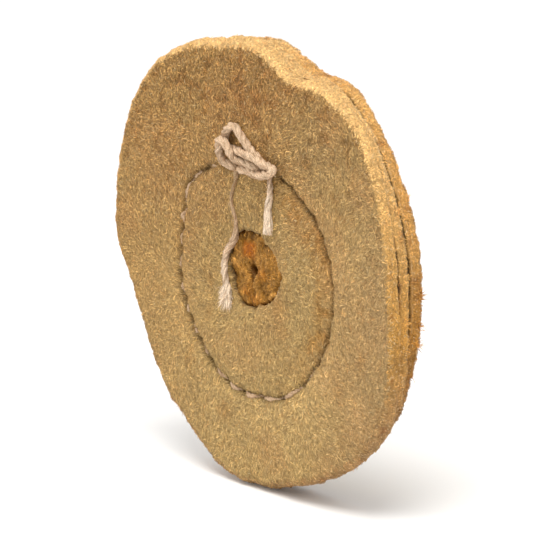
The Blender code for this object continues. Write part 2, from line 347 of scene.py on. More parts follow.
def nap_tint(x, z, seed):
    """Colour of a napped face at a place, without its fibre-scale detail."""
    x, z = np.asarray(x, float), np.asarray(z, float)
    # darker toward the top, brighter toward the bottom: partly the leather's own tone, partly painted light of the
    # floor's bounce on the lower face
    c = mix(NAP_LOW, NAP_TOP, np.clip((z - 0.30 * x + 18) / 66, 0, 1) ** 1.25)
    c = mix(c, NAP_LEFT, 0.6 * np.clip((-x - 10) / 40, 0, 1) * np.clip((24 - z) / 40, 0, 1))
    c = mix(c, NAP_RIGHT, 0.7 * np.clip((x - 18) / 28, 0, 1) * np.clip((34 - z) / 30, 0, 1))
    blot = noise3(x, 0 * x, z, 14.0, seed + 11) * 0.5 + noise3(x, 0 * x, z, 5.0, seed + 12) * 0.5
    c = c * (1 + 0.10 * blot)[..., None]
    rust = np.clip(fractal(x, 0 * x, z, 7.0, seed + 14, 3) * 2.6 - 0.75, 0, 1)
    c = mix(c, c * 0.82 * np.array([1.06, 0.93, 0.80]), 0.65 * rust)
    speck = np.clip(noise3(x, 0 * x, z, 1.9, seed + 15) * 2.0 - 0.40, 0, 1) * np.clip((z + 2) / 34, 0, 1)
    c = mix(c, c * np.array([0.70, 0.59, 0.48]), 0.75 * speck)
    crown = np.exp(-(((x - 2) / 13.0) ** 2) - (((z - 42) / 7.0) ** 2)) * np.clip(0.7 + noise3(x, 0 * x, z, 3.2, seed + 18), 0, 1.2)
    c = mix(c, c * np.array([0.90, 0.76, 0.66]), np.clip(0.8 * crown, 0, 1))
    pinkish = np.clip(noise3(x, 0 * x, z, 11.0, seed + 16) * 1.8, 0, 1)
    c = mix(c, c * np.array([1.03, 0.97, 0.96]), 0.8 * pinkish)
    shade = np.exp(-(((x - 23) / 10) ** 2) - (((z - 30) / 9) ** 2))
    c = mix(c, c * np.array([0.82, 0.83, 0.88]), shade)
    d, sewn = seam_distance(x, z)
    c = mix(c, c * np.array([0.90, 0.90, 0.89]), np.clip(-d / 3, 0, 1) * np.clip((x + 14) / 20, 0.3, 1))
    # a darker reddish-brown band just inside the seam on the right: partly the leather's own reddish tone, partly
    # painted shade beside the puffed fold
    inner = np.exp(-(((d + 2.4) / 2.9) ** 2)) * np.clip((x - 2) / 12, 0, 1) * np.clip((z + 24) / 10, 0, 1)
    grain = np.clip(0.8 + 0.8 * noise3(x, 0 * x, z, 1.8, seed + 17), 0, 1.4)
    c = mix(c, c * np.array([0.80, 0.66, 0.48]), np.clip(0.9 * inner * grain, 0, 1))
    outer = np.exp(-(((d - 3.4) / 3.0) ** 2)) * np.clip((x + 2) / 16, 0, 1)
    c = mix(c, c * np.array([1.06, 1.07, 1.10]), 0.6 * outer)
    # darkest right along the seam: painted shade in the seam's fold
    c = c * (1 - 0.55 * sewn * np.exp(-((d / 0.55) ** 2)))[..., None]
    return c


def edge_tint(theta, y, seed):
    """Colour of a cut edge: pale at the top as painted light of the overhead lamp, pale along the front bevel, golden
    below.
    """
    x, z = 50 * np.cos(theta), 50 * np.sin(theta)
    # paler toward the top: painted light of the overhead lamp on the rim
    g = np.clip((z + 6) / 46, 0, 1)
    c = mix(EDGE_GOLD, EDGE_TOP_LIGHT, 0.85 * g**1.1)
    c = mix(c, EDGE_LOW, 0.94 * np.clip((-8 - z) / 16, 0, 1))
    low = np.clip((20 - z) / 20, 0, 1)
    c = c * (1 + low * (0.17 * np.exp(-(((y + 0.3) / 1.4) ** 2)) - 0.13 * np.exp(-(((y + 3.8) / 1.4) ** 2))))[..., None]
    stripe = noise3(x * 0.2, y * 1.0, z * 0.2, 0.9, seed + 24)
    c = c * (1 + 0.16 * stripe * np.clip((16 - z) / 20, 0, 1))[..., None]
    c = mix(c, c * np.array([0.88, 0.80, 0.70]), np.clip((y - 1.0) / 0.8, 0, 1) * np.clip((26 - z) / 24, 0, 1) * 0.9)
    c = mix(c, c * np.array([1.12, 1.12, 1.14]), np.exp(-(((y + 3.4) / 1.2) ** 2)) * np.clip((12 - z) / 30, 0, 1) * 0.8)
    deg = np.mod(np.degrees(theta) + 90, 360) - 90
    behind = np.clip((y - 0.8) / 0.8, 0, 1) * np.clip((deg - 12) / 16, 0, 1) * np.clip((88 - deg) / 12, 0, 1)
    c = mix(c, c * np.array([0.96, 0.85, 0.66]), 0.9 * behind)
    spot = np.exp(-(((deg - 70.4) / 1.9) ** 2) - (((y - 3.6) / 1.3) ** 2))
    c = mix(c, np.broadcast_to(0.8 * RUST, c.shape), 0.65 * spot)
    blot = noise3(x, y, z, 4.0, seed + 21) * 0.5 + noise3(x, y, z, 1.6, seed + 22) * 0.5
    rust = np.clip(noise3(x, y, z, 2.2, seed + 23) * 2.4 - 1.05, 0, 1)
    c = mix(c, np.broadcast_to(RUST, c.shape), 0.5 * rust)
    return c * (1 + 0.15 * blot)[..., None]


def swell(theta, lo, hi, soft=5.0):
    """1 between two angles in degrees, easing to 0 outside them."""
    deg = np.mod(np.degrees(theta) - lo + 90, 360) - 90
    return 1 / (1 + np.exp(-deg / (soft / 3))) * 1 / (1 + np.exp((deg - (hi - lo)) / (soft / 3)))


def bell_at(theta, mid, half):
    deg = np.mod(np.degrees(theta) - mid + 180, 360) - 180
    return np.exp(-((deg / half) ** 2))


def worn(theta):
    """How far the rim is worn back from its traced outline, in mm."""
    dents = -0.7 * bell_at(theta, 96, 7) + 0.7 * bell_at(theta, 73, 6) - 0.8 * bell_at(theta, 181, 9)
    return 1.15 * swell(theta, -10, 52, 12) + dents + 0.5 * bell_at(theta, -66, 12)


def rounding(theta, small, large):
    """Edge radius: large where the crack is open, small where it is closed."""
    return small + (large - small) * swell(theta, -75, 60, 10)


def crack_open(theta, which):
    """Extra gap in mm between two plies at their cut edge: 1 front/middle, 2 middle/back."""
    x, z = 50 * np.cos(theta), 50 * np.sin(theta)
    rough = np.clip(0.75 + 0.6 * noise3(x, 0 * x, z, 3.0, 71 + which), 0.15, 1.6)
    if which == 1:
        dots = np.clip(0.2 + 1.3 * noise3(x, 0 * x, z, 4.5, 75), 0, 1)
        shut = -0.50 * swell(theta, 56, 130, 7)
        return swell(theta, 2, 52) * 0.34 * rough * dots + 0.26 * swell(theta, -62, 2) * np.clip(dots + 0.3, 0, 1) + shut
    low = np.clip(0.60 + 1.0 * noise3(x, 0 * x, z, 3.5, 76), 0.1, 1)
    shut = -0.55 * swell(theta, 61, 130, 7)
    return swell(theta, 3, 57) * 0.50 * rough + swell(theta, -70, 3, 9) * 0.42 * rough * low + shut


def disc_section(span, outline, inner, theta, front_round, back_round, counts, overhang=0.0, thin=(0.0, 0.0)):
    """The undisplaced grid of a disc with rounded edges.

    Returns P[i, j] and, for each j, a code: 0 front face, 1 front rounding,
    2 cut edge, 3 back rounding, 4 back face, 5 inner wall.
    """
    lo, hi = span
    n_front, n_round, n_edge, n_back, n_in = counts
    R = polar(outline, theta) + overhang
    r0 = inner
    rows, code = [], []
    face_end = R - front_round
    for t in np.linspace(0, 1, n_front):
        rows.append((r0 + (face_end - r0) * t, lo + 0 * R))
        code.append(0)
    for a in np.linspace(0, np.pi / 2, n_round + 2)[1:-1]:
        rows.append((face_end + front_round * np.sin(a), lo + front_round * (1 - np.cos(a)) + 0 * R))
        code.append(1)
    for t in np.linspace(0, 1, n_edge):
        rows.append((R, lo + front_round + (hi - back_round - lo - front_round) * t + 0 * R))
        code.append(2)
    for a in np.linspace(0, np.pi / 2, n_round + 2)[1:-1]:
        rows.append((R - back_round * (1 - np.cos(a)), hi - back_round + back_round * np.sin(a) + 0 * R))
        code.append(3)
    for t in np.linspace(0, 1, n_back):
        rows.append(((R - back_round) + (r0 - (R - back_round)) * t, hi + 0 * R))
        code.append(4)
    for t in np.linspace(0, 1, n_in + 2)[1:-1]:
        rows.append((r0, hi + (lo - hi) * t + 0 * R))
        code.append(5)
    r = np.stack([a for a, _ in rows], 1)
    y = np.stack([b for _, b in rows], 1)
    # the plies part a little toward the rim, where the crack between them is open
    flare = np.clip((r - (R[:, None] - 5.0)) / 4.0, 0, 1) ** 1.5
    share = np.clip((y - lo) / (hi - lo), 0, 1)
    front_gap = np.broadcast_to(thin[0], R.shape)[:, None]
    back_gap = np.broadcast_to(thin[1], R.shape)[:, None]
    y = y + flare * (front_gap * (1 - share) - back_gap * share)
    c, s = np.cos(theta)[:, None], np.sin(theta)[:, None]
    return np.stack([r * c, y, r * s], -1), np.array(code)


def build_front():
    n = 640
    theta = np.linspace(0, 2 * np.pi, n, endpoint=False)
    inner = polar(OPENING, theta) + 0.50 * noise3(9 * np.cos(theta), 0 * theta, 9 * np.sin(theta), 2.0, 91)
    inner += 0.38 * noise3(9 * np.cos(theta), 0 * theta, 9 * np.sin(theta), 0.7, 92)
    inner += 0.30 + 0.95 * swell(theta, -16, 34, 16)
    ragged = 0.28 * noise3(50 * np.cos(theta), 0 * theta, 50 * np.sin(theta), 3.0, 93)
    ragged += 0.14 * noise3(50 * np.cos(theta), 0 * theta, 50 * np.sin(theta), 0.9, 94)
    P, code = disc_section(
        (-5.0, -2.1), np.array(FRONT_OUTLINE), inner, theta,
        1.75 - 0.65 * swell(theta, -30, 50, 12) + 1.1 * bell_at(theta, 101, 11),
        rounding(theta, 0.15, 0.40),
        (112, 8, 7, 6, 5), overhang=ragged - worn(theta), thin=(0.0, 0.5 * crack_open(theta, 1)),
    )
    return theta, P, code


def displace_disc(P, code, seed, face_y, front):
    """Adds the leather's relief to a disc grid. face_y is not used; front tells which side shows its nap."""
    x, y, z = P[..., 0].copy(), P[..., 1].copy(), P[..., 2].copy()
    H = relief(x, z, seed, front=front)
    r = np.hypot(x, z)
    code2 = np.broadcast_to(code, x.shape)
    out = P.copy()
    if front:
        w = np.select([code2 == 0, code2 == 1, code2 == 5], [1.0, 0.75, 0.45], 0.0)
        w5 = np.clip((-1.9 - y) / 3.0, 0, 1)
        w = np.where(code2 == 5, w5, w)
        w = np.where(code2 == 1, np.clip(1 - (y + 5.0) / 1.7, 0, 1), w)
        out[..., 1] -= H * w
    else:
        w = np.select([code2 == 4, code2 == 3, code2 == 5], [1.0, 0.75, 0.3], 0.0)
        w = np.where(code2 == 3, np.clip((y - 4.0) / 1.0, 0, 1), w)
        out[..., 1] += H * w
    N = grid_normals(out)
    rim = np.select([code2 == 2, code2 == 1, code2 == 3], [1.0, 0.8, 0.8], 0.0)
    g = 0.24 * noise3(x, y, z, 1.5, seed + 31) + 0.16 * noise3(x, y, z, 0.6, seed + 32)
    g += 0.18 * noise3(x * 0.35, y * 2.4, z * 0.35, 1.0, seed + 33)
    out += N * (g * rim)[..., None]
    return out


PLIES = {}


def make_front():
    theta, P, code = build_front()
    P = displace_disc(P, code, 300, -5.0, True)
    n, m = P.shape[:2]
    x, y, z = P[..., 0], P[..., 1], P[..., 2]
    th = np.broadcast_to(theta[:, None], x.shape)
    nap, edge = nap_tint(x, z, 300), edge_tint(th, y, 300)
    R = np.broadcast_to((polar(FRONT_OUTLINE, theta) - worn(theta) + 0.65 * swell(theta, -30, 50, 12) - 1.1 * bell_at(theta, 101, 11))[:, None], x.shape)
    r = np.hypot(x, z)
    wob = 0.5 * noise3(x, 0 * x, z, 2.2, 341) + 0.35 * noise3(x, 0 * x, z, 0.7, 342)
    e = np.clip((r - (R - 1.75) + wob * 0.5) / 0.55, 0, 1)
    e = np.where(np.broadcast_to(code, x.shape) == 0, e, np.where(np.broadcast_to(code, x.shape) == 5, 0, np.maximum(e, np.isin(code, (2, 3))[None])))
    col = mix(nap, edge, e)
    # the bevel is the palest band
    bevel = np.exp(-(((y + 4.0) / 1.0) ** 2)) * e
    col = mix(col, col * 1.12, 0.6 * bevel)
    lip = np.exp(-(((r - polar(OPENING, th)) / 0.7) ** 2))
    col = mix(col, np.broadcast_to(NAP_LIP, col.shape), 0.6 * lip)
    obj = new_mesh("leather_front", P.reshape(-1, 3), grid_faces(n, m), colours=col.reshape(-1, 3))
    PLIES["front"] = (theta, P, code, col)
    return obj


def make_plain_ply(name, span, outline, seed, counts, rounds, back, overhang, thin):
    n = 640
    theta = np.linspace(0, 2 * np.pi, n, endpoint=False)
    cx, cz = 50 * np.cos(theta), 50 * np.sin(theta)
    ragged = 0.30 * noise3(cx, 0 * cx, cz, 3.4, seed + 93) + 0.16 * noise3(cx, 0 * cx, cz, 0.9, seed + 94)
    inner = 1.9 + 0 * theta
    P, code = disc_section(span, np.array(outline), inner, theta, rounding(theta, 0.2, rounds[0]),
                           rounds[1] if back else rounding(theta, 0.2, rounds[1]), counts,
                           overhang + ragged - 0.85 * worn(theta) + (0 if back else 0.9) * bell_at(theta, 73, 11),
                           thin=thin(theta))
    P = displace_disc(P, code, seed, 5.0, False) if back else P
    if not back:
        N = grid_normals(P)
        x, y, z = P[..., 0], P[..., 1], P[..., 2]
        rim = np.isin(code, (1, 2, 3))[None] * 1.0
        g = 0.26 * noise3(x, y, z, 1.5, seed + 31) + 0.17 * noise3(x, y, z, 0.6, seed + 32)
        g += 0.18 * noise3(x * 0.35, y * 2.4, z * 0.35, 1.0, seed + 33)
        P = P + N * (g * rim)[..., None]
    x, y, z = P[..., 0], P[..., 1], P[..., 2]
    th = np.broadcast_to(theta[:, None], x.shape)
    nap, edge = nap_tint(-x, z, seed), edge_tint(th, y, seed)
    code2 = np.broadcast_to(code, x.shape)
    e = np.where(np.isin(code2, (1, 2, 3)), 1.0, 0.0)
    col = mix(nap, edge, e)
    # painted shade in the crack between plies, and a pale skin along the lip in front of the back ply
    inside = np.isin(code2, (1,)) | (np.isin(code2, (3,)) & (not back))
    open_ = np.clip(3.2 * crack_open(theta, 2 if back else 1) + 0.25, 0, 1)[:, None]
    if not back:
        open_ = np.where(code2 == 3, np.clip(3.2 * crack_open(theta, 2) + 0.25, 0, 1)[:, None], open_)
    rows = np.arange(code2.shape[1])
    first = np.argmax(np.isin(code, (2,)))
    last = len(code) - 1 - np.argmax(np.isin(code, (2,))[::-1])
    deep = np.where(code2 == 1, np.clip((first - rows) / 4.0, 0, 1)[None], np.clip((rows - last) / 4.0, 0, 1)[None])
    deep = np.where(inside, deep, 0.0) * open_
    col = col * (1 - 0.80 * deep)[..., None]
    near = np.where(back, np.exp(-(((rows - first - 0.6) / 1.0) ** 2))[None], np.exp(-(((rows - last + 0.6) / 1.0) ** 2))[None])
    lip = near * np.clip(2.5 * crack_open(theta, 2), 0, 1)[:, None] * (code2 == 2)
    col = mix(col, np.broadcast_to(0.95 * srgb(232, 196, 150), col.shape), 0.55 * lip)
    m = P.shape[1]
    obj = new_mesh(name, P.reshape(-1, 3), grid_faces(n, m), colours=col.reshape(-1, 3))
    PLIES[name] = (theta, P, code, col)
    return obj


# ------------------------------------------------------------------ nap fibres
def bilinear(A, i, j):
    n, m = A.shape[:2]
    i0 = np.floor(i).astype(int)
    j0 = np.floor(j).astype(int)
    fi, fj = (i - i0)[:, None], (j - j0)[:, None]
    i0, i1 = i0 % n, (i0 + 1) % n
    j0, j1 = j0 % m, (j0 + 1) % m
    return (
        A[i0, j0] * (1 - fi) * (1 - fj) + A[i1, j0] * fi * (1 - fj)
        + A[i0, j1] * (1 - fi) * fj + A[i1, j1] * fi * fj
    )


def grow(P, weight, n, rng, length, width, rise, angle_of=None, curl=0.5, nodes=5, colour=None, spread=None, lift=0.02, size_of=None):
    """Fibres that lie along a grid surface.

    weight[i, j] is the share of fibres in a cell. length, width and rise are
    (low, high) in mm. Returns vertices, faces and each fibre's colour.
    """
    du = np.roll(P, -1, 0) - P
    dv = np.roll(P, -1, 1) - P
    Lu, Lv = np.linalg.norm(du, axis=2), np.linalg.norm(dv, axis=2)
    N = grid_normals(P)
    w = (Lu * Lv * weight).ravel()
    cells = rng.choice(len(w), size=n, p=w / w.sum())
    m = P.shape[1]
    i = cells // m + rng.random(n)
    j = cells % m + rng.random(n)
    LL = np.stack([Lu, Lv], -1)
    phi = rng.random(n) * 2 * np.pi if angle_of is None else angle_of(bilinear(P, i, j), rng)
    total = rng.uniform(*length, n)
    if size_of is not None:
        total = total * size_of(bilinear(P, i, j))
    step = total / (nodes - 1)
    bend = rng.normal(0, curl, n)
    up_by = rng.uniform(*rise, n)
    pos, nor = [], []
    for k in range(nodes):
        p, nn = bilinear(P, i, j), bilinear(N, i, j)
        nn /= np.maximum(np.linalg.norm(nn, axis=1, keepdims=True), 1e-9)
        t = k / (nodes - 1)
        arch = (lift + up_by * math.sin(math.pi * min(1, 0.15 + t * 0.95)))[:, None] if spread is None else (lift + up_by * t)[:, None]
        pos.append(p + nn * arch)
        nor.append(nn)
        ll = np.maximum(bilinear(LL, i, j), 0.02)
        i = i + np.cos(phi) * step / ll[:, 0]
        j = j + np.sin(phi) * step / ll[:, 1]
        phi = phi + bend + rng.normal(0, curl * 0.4, n)
    pos, nor = np.stack(pos, 1), np.stack(nor, 1)
    base = colour(pos[:, nodes // 2], rng) if colour else None
    return (*ribbons(pos, nor, rng.uniform(*width, n)), base)


def ribbons(pos, nor, width):
    """Tapered ribbons through pos[n, nodes]: a point at each end, two vertices between."""
    n, k = pos.shape[:2]
    tan = np.gradient(pos, axis=1)
    side = np.cross(tan, nor)
    side /= np.maximum(np.linalg.norm(side, axis=2, keepdims=True), 1e-9)
    shape = np.sin(np.linspace(0.18, math.pi - 0.22, k))[None, 1:-1, None]
    half = side[:, 1:-1] * shape * (width / 2)[:, None, None]
    mid = pos[:, 1:-1]
    verts = np.concatenate([pos[:, :1], np.stack([mid - half, mid + half], 2).reshape(n, -1, 3), pos[:, -1:]], 1)
    per = verts.shape[1]
    tri = []
    a = k - 2
    tri.append((0, 1, 2))
    for s in range(a - 1):
        b = 1 + 2 * s
        tri.append((b, b + 2, b + 1))
        tri.append((b + 1, b + 2, b + 3))
    tri.append((per - 3, per - 1, per - 2))
    faces = (np.arange(n)[:, None, None] * per + np.array(tri)[None]).reshape(-1, 3)
    return verts.reshape(-1, 3), faces


def fibre_pieces(name, groups, limit=33000):
    """Joins groups of fibres into pieces of at most limit fibres.

    Every fibre has its own tint and its own small cell of the UV map.
    """
    V, F, C = [], [], []
    for verts, faces, base in groups:
        n = len(base)
        per_v, per_f = len(verts) // n, len(faces) // n
        V.append(verts.reshape(n, per_v, 3))
        F.append(faces.reshape(n, per_f, 3) - (np.arange(n) * per_v)[:, None, None])
        C.append(base)
    V, F, C = np.concatenate(V), np.concatenate(F), np.concatenate(C)
    order = np.random.default_rng(77).permutation(len(V))
    V, F, C = V[order], F[order], C[order]
    made = []
    for k, start in enumerate(range(0, len(V), limit)):
        v, f, c = V[start : start + limit], F[start : start + limit], C[start : start + limit]
        n, per = v.shape[:2]
        faces = (f + (np.arange(n) * per)[:, None, None]).reshape(-1, 3)
        tip = np.linspace(0.86, 1.16, per)[None, :, None]
        obj = new_mesh(f"{name}_{k + 1}", v.reshape(-1, 3), faces, smooth=False,
                       colours=(c[:, None] * tip).reshape(-1, 3))
        side = int(math.ceil(math.sqrt(n)))
        cell = np.stack([np.arange(n) % side, np.arange(n) // side], 1)
        local = np.zeros((per, 2))
        rows = (per - 2) // 2
        local[0] = (0.1, 0.5)
        local[-1] = (0.9, 0.5)
        for r in range(rows):
            t = 0.1 + 0.8 * (r + 1) / (rows + 1)
            local[1 + 2 * r] = (t, 0.12)
            local[2 + 2 * r] = (t, 0.88)
        uv = ((cell[:, None] + local[None]) / side).reshape(-1, 2)
        layer = obj.data.uv_layers.new(name="OFBake")
        layer.uv.foreach_set("vector", uv[faces.ravel()].astype(np.float32).ravel())
        made.append(obj)
    return made


# ------------------------------------------------------------------- the twine
def frames_along(p):
    t = np.gradient(p, axis=0)
    t /= np.maximum(np.linalg.norm(t, axis=1, keepdims=True), 1e-9)
    u = np.zeros_like(p)
    ref = np.array([0.0, -1.0, 0.0])
    v = np.cross(t[0], ref)
    if np.linalg.norm(v) < 0.1:
        v = np.cross(t[0], [1.0, 0, 0])
    u[0] = v / np.linalg.norm(v)
    for k in range(1, len(p)):
        w = u[k - 1] - t[k] * (u[k - 1] @ t[k])
        u[k] = w / max(np.linalg.norm(w), 1e-9)
    return t, u, np.cross(t, u)


def turns(s, pitch):
    """Twist angle along a cord whose pitch may vary."""
    step = np.gradient(s)
    return np.cumsum(2 * np.pi * step / np.broadcast_to(np.asarray(pitch, float), s.shape))


def yarn_fibres(path, radius, pitch, strands, rng, n, splay, phase, length=(1.5, 5.0), width=(0.05, 0.12)):
    """Fibres that lie along the strands of a laid cord."""
    s = np.concatenate([[0], np.cumsum(np.linalg.norm(np.diff(path, axis=0), axis=1))])
    t, u, v = frames_along(path)
    radius = np.broadcast_to(np.asarray(radius, float), s.shape)
    twist = turns(s, pitch)
    centres, us, vs = [], [], []
    for k in range(strands):
        a = twist + 2 * np.pi * k / strands + phase + 0.25 * np.sin(s * 1.7 + k)
        c = path + (u * np.cos(a)[:, None] + v * np.sin(a)[:, None]) * (radius * 0.46 * splay)[:, None]
        tt, uu, vv = frames_along(c)
        centres.append(c)
        us.append(uu)
        vs.append(vv)
    centres, us, vs = np.stack(centres), np.stack(us), np.stack(vs)
    k = rng.integers(0, strands, n)
    step = s[-1] / (len(s) - 1)
    L = rng.uniform(*length, n)
    s0 = rng.uniform(0, 1, n) * s[-1]
    phi, drift = rng.uniform(0, 2 * np.pi, n), rng.normal(0, 0.35, n)
    out = rng.uniform(1.02, 1.20, n)
    pos, nor = [], []
    for q in np.linspace(0, 1, 6):
        at = np.clip((s0 + L * q) / step, 0, len(s) - 1.001)
        i, f = at.astype(int), (at - at.astype(int))[:, None]
        c = centres[k, i] * (1 - f) + centres[k, i + 1] * f
        uu, vv = us[k, i], vs[k, i]
        rad = uu * np.cos(phi + drift * L * q)[:, None] + vv * np.sin(phi + drift * L * q)[:, None]
        rr = radius[i] * 0.56 * (out + 0.10 * math.sin(math.pi * q))
        pos.append(c + rad * rr[:, None])
        nor.append(rad)
    return ribbons(np.stack(pos, 1), np.stack(nor, 1), rng.uniform(*width, n))


def brush(path, n, rng, reach, radius):
    """Untwisted parallel fibres at a cord's cut end, all stopping at the cut."""
    t, u, v = frames_along(path)
    s = np.concatenate([[0], np.cumsum(np.linalg.norm(np.diff(path, axis=0), axis=1))])
    left0 = rng.uniform(0.15, 1.0, n) * reach
    a, r = rng.random(n) * 2 * np.pi, rng.random(n) ** 0.5
    over = rng.normal(0.1, 0.22, n)
    wave = rng.normal(0, 0.10, n)
    pos, nor = [], []
    for q in np.linspace(0, 1, 6):
        left = left0 * (1 - q)
        at = np.clip((s[-1] - left) / s[-1] * (len(s) - 1), 0, len(s) - 1).astype(int)
        open_ = 1 - np.clip(left / reach, 0, 1)
        spread_ = radius * (0.55 + 0.75 * open_)
        rad = u[at] * np.cos(a + wave * q * 4)[:, None] + v[at] * np.sin(a + wave * q * 4)[:, None]
        p = path[at] + rad * (spread_ * r)[:, None] + t[at] * (over * q)[:, None]
        p[:, 1] = np.minimum(p[:, 1], FRONT_FACE - 0.05)
        pos.append(p)
        nor.append(rad * 0.5 + np.array([0.3, -0.8, 0.1]))
    return ribbons(np.stack(pos, 1), np.stack(nor, 1), rng.uniform(0.07, 0.14, n))


def twisted(path, radius, pitch, strands, rng, ring=9, splay=None, hair=0, taper=0.0, phase=0.0):
    """A laid cord: strands wound round the path, each with fibre ridges.

    radius may vary along the path; splay opens the strands outward.
    """
    t, u, v = frames_along(path)
    s = np.concatenate([[0], np.cumsum(np.linalg.norm(np.diff(path, axis=0), axis=1))])
    radius = np.broadcast_to(np.asarray(radius, float), s.shape)
    splay = np.ones_like(s) if splay is None else splay
    verts, faces, start = [], [], 0
    n = len(path)
    strand_r = radius * 0.56
    off_r = radius * 0.46 * splay
    twist = turns(s, pitch)
    for k in range(strands):
        a = twist + 2 * np.pi * k / strands + phase + 0.25 * np.sin(s * 1.7 + k)
        c = path + (u * np.cos(a)[:, None] + v * np.sin(a)[:, None]) * off_r[:, None]
        tt, uu, vv = frames_along(c)
        ph = np.linspace(0, 2 * np.pi, ring, endpoint=False)
        ridges = 1 + 0.10 * np.sin(3 * ph[None] - 1.5 * twist[:, None] + k) + 0.05 * np.sin(5 * ph[None] + 0.6 * s[:, None]) + 0.03 * rng.normal(0, 1, (n, ring))
        rr = strand_r[:, None] * ridges
        end = np.ones(n)
        if taper:
            end = np.clip((s[-1] - s) / taper, 0.12, 1) ** 0.5
        rr = rr * end[:, None]
        P = c[:, None] + uu[:, None] * (np.cos(ph)[None, :, None] * rr[..., None]) + vv[:, None] * (np.sin(ph)[None, :, None] * rr[..., None])
        verts.append(P.reshape(-1, 3))
        i, j = np.meshgrid(np.arange(n - 1), np.arange(ring), indexing="ij")
        q = np.stack([i * ring + j, i * ring + (j + 1) % ring, (i + 1) * ring + (j + 1) % ring, (i + 1) * ring + j], -1).reshape(-1, 4)
        tri = np.concatenate([q[:, [0, 1, 2]], q[:, [0, 2, 3]]]) + start
        faces.append(tri)
        # close both ends with a centre vertex
        for row, flip in ((0, True), (n - 1, False)):
            verts.append(c[row : row + 1] + (-1 if flip else 1) * tt[row : row + 1] * 0.03)
            centre_id = start + n * ring + (0 if flip else 1)
            a0 = start + row * ring + np.arange(ring)
            a1 = start + row * ring + (np.arange(ring) + 1) % ring
            cap = np.stack([a1, a0, np.full(ring, centre_id)], 1) if flip else np.stack([a0, a1, np.full(ring, centre_id)], 1)
            faces.append(cap)
        start += n * ring + 2
    verts, faces = np.vstack(verts), np.vstack(faces)
    return verts, faces


def cord_tint(verts, path, stops):
    """Colour of a cord's surface by how far along the path it lies (mm)."""
    s = np.concatenate([[0], np.cumsum(np.linalg.norm(np.diff(path, axis=0), axis=1))])
    some = np.arange(0, len(path), 4)
    out = np.empty(len(verts))
    for start in range(0, len(verts), 4000):
        v = verts[start : start + 4000]
        near = np.argmin(((v[:, None] - path[some][None]) ** 2).sum(2), 1)
        out[start : start + 4000] = s[some][near]
    at = [a for a, _ in stops]
    cols = np.array([c for _, c in stops])
    return np.stack([np.interp(out, at, cols[:, k]) for k in range(3)], 1)


def hairs_on(path, radius, n, rng, length, width, out, along=0.8, nodes=4):
    """Loose fibres on a cord."""
    t, u, v = frames_along(path)
    k = rng.integers(1, len(path) - 1, n)
    a = rng.random(n) * 2 * np.pi
    rad = u[k] * np.cos(a)[:, None] + v[k] * np.sin(a)[:, None]
    tang = t[k] * np.where(rng.random(n) < 0.5, 1, -1)[:, None]
    circ = np.cross(t[k], rad)
    L = rng.uniform(*length, n)
    r = radius[k] if np.ndim(radius) else np.full(n, radius)
    start = path[k] + rad * (r * 0.9)[:, None]
    d = tang * along + rad * rng.uniform(*out, n)[:, None] + circ * rng.normal(0, 0.4, n)[:, None]
    d /= np.linalg.norm(d, axis=1, keepdims=True)
    droop = circ * rng.normal(0, 0.25, n)[:, None]
    pos = []
    for q in np.linspace(0, 1, nodes):
        pos.append(start + d * (L * q)[:, None] + droop * (L * q * q)[:, None])
    pos = np.stack(pos, 1)
    nor = np.broadcast_to(rad[:, None], pos.shape)
    return ribbons(pos, nor, rng.uniform(*width, n))


def joined(name, chunks, smooth=True, colours=None):
    verts, faces, start = [], [], 0
    for v, f in chunks:
        verts.append(v)
        faces.append(f + start)
        start += len(v)
    verts = np.vstack(verts)
    return new_mesh(name, verts, np.vstack(faces), smooth=smooth, colours=colours(verts) if colours else None)


# ------------------------------------------------------------------- materials
def principled(name):
    mat = bpy.data.materials.new(name)
    mat.use_nodes = True
    nt = mat.node_tree
    return mat, nt, nt.nodes["Principled BSDF"]


def noise_node(nt, scale, detail, rough=0.6, stretch=None, distort=0.0):
    tc = nt.nodes.new("ShaderNodeTexCoord")
    mp = nt.nodes.new("ShaderNodeMapping")
    mp.inputs["Scale"].default_value = stretch or (1, 1, 1)
    nz = nt.nodes.new("ShaderNodeTexNoise")
    nz.inputs["Scale"].default_value = scale
    nz.inputs["Detail"].default_value = detail
    nz.inputs["Roughness"].default_value = rough
    nz.inputs["Distortion"].default_value = distort
    nt.links.new(tc.outputs["Object"], mp.inputs["Vector"])
    nt.links.new(mp.outputs["Vector"], nz.inputs["Vector"])
    return nz.outputs["Fac"]


def ramp(nt, fac, stops):
    r = nt.nodes.new("ShaderNodeValToRGB")
    r.color_ramp.elements[0].position = stops[0][0]
    r.color_ramp.elements[0].color = (*stops[0][1], 1)
    r.color_ramp.elements[1].position = stops[-1][0]
    r.color_ramp.elements[1].color = (*stops[-1][1], 1)
    for pos, col in stops[1:-1]:
        e = r.color_ramp.elements.new(pos)
        e.color = (*col, 1)
    nt.links.new(fac, r.inputs["Fac"])
    return r.outputs["Color"]


def multiply(nt, a, b, fac=1.0):
    m = nt.nodes.new("ShaderNodeMix")
    m.data_type = "RGBA"
    m.blend_type = "MULTIPLY"
    m.inputs["Factor"].default_value = fac
    nt.links.new(a, m.inputs["A"])
    nt.links.new(b, m.inputs["B"])
    return m.outputs["Result"]


def bump(nt, bsdf, height, strength, distance):
    b = nt.nodes.new("ShaderNodeBump")
    b.inputs["Strength"].default_value = strength
    b.inputs["Distance"].default_value = distance
    nt.links.new(height, b.inputs["Height"])
    nt.links.new(b.outputs["Normal"], bsdf.inputs["Normal"])


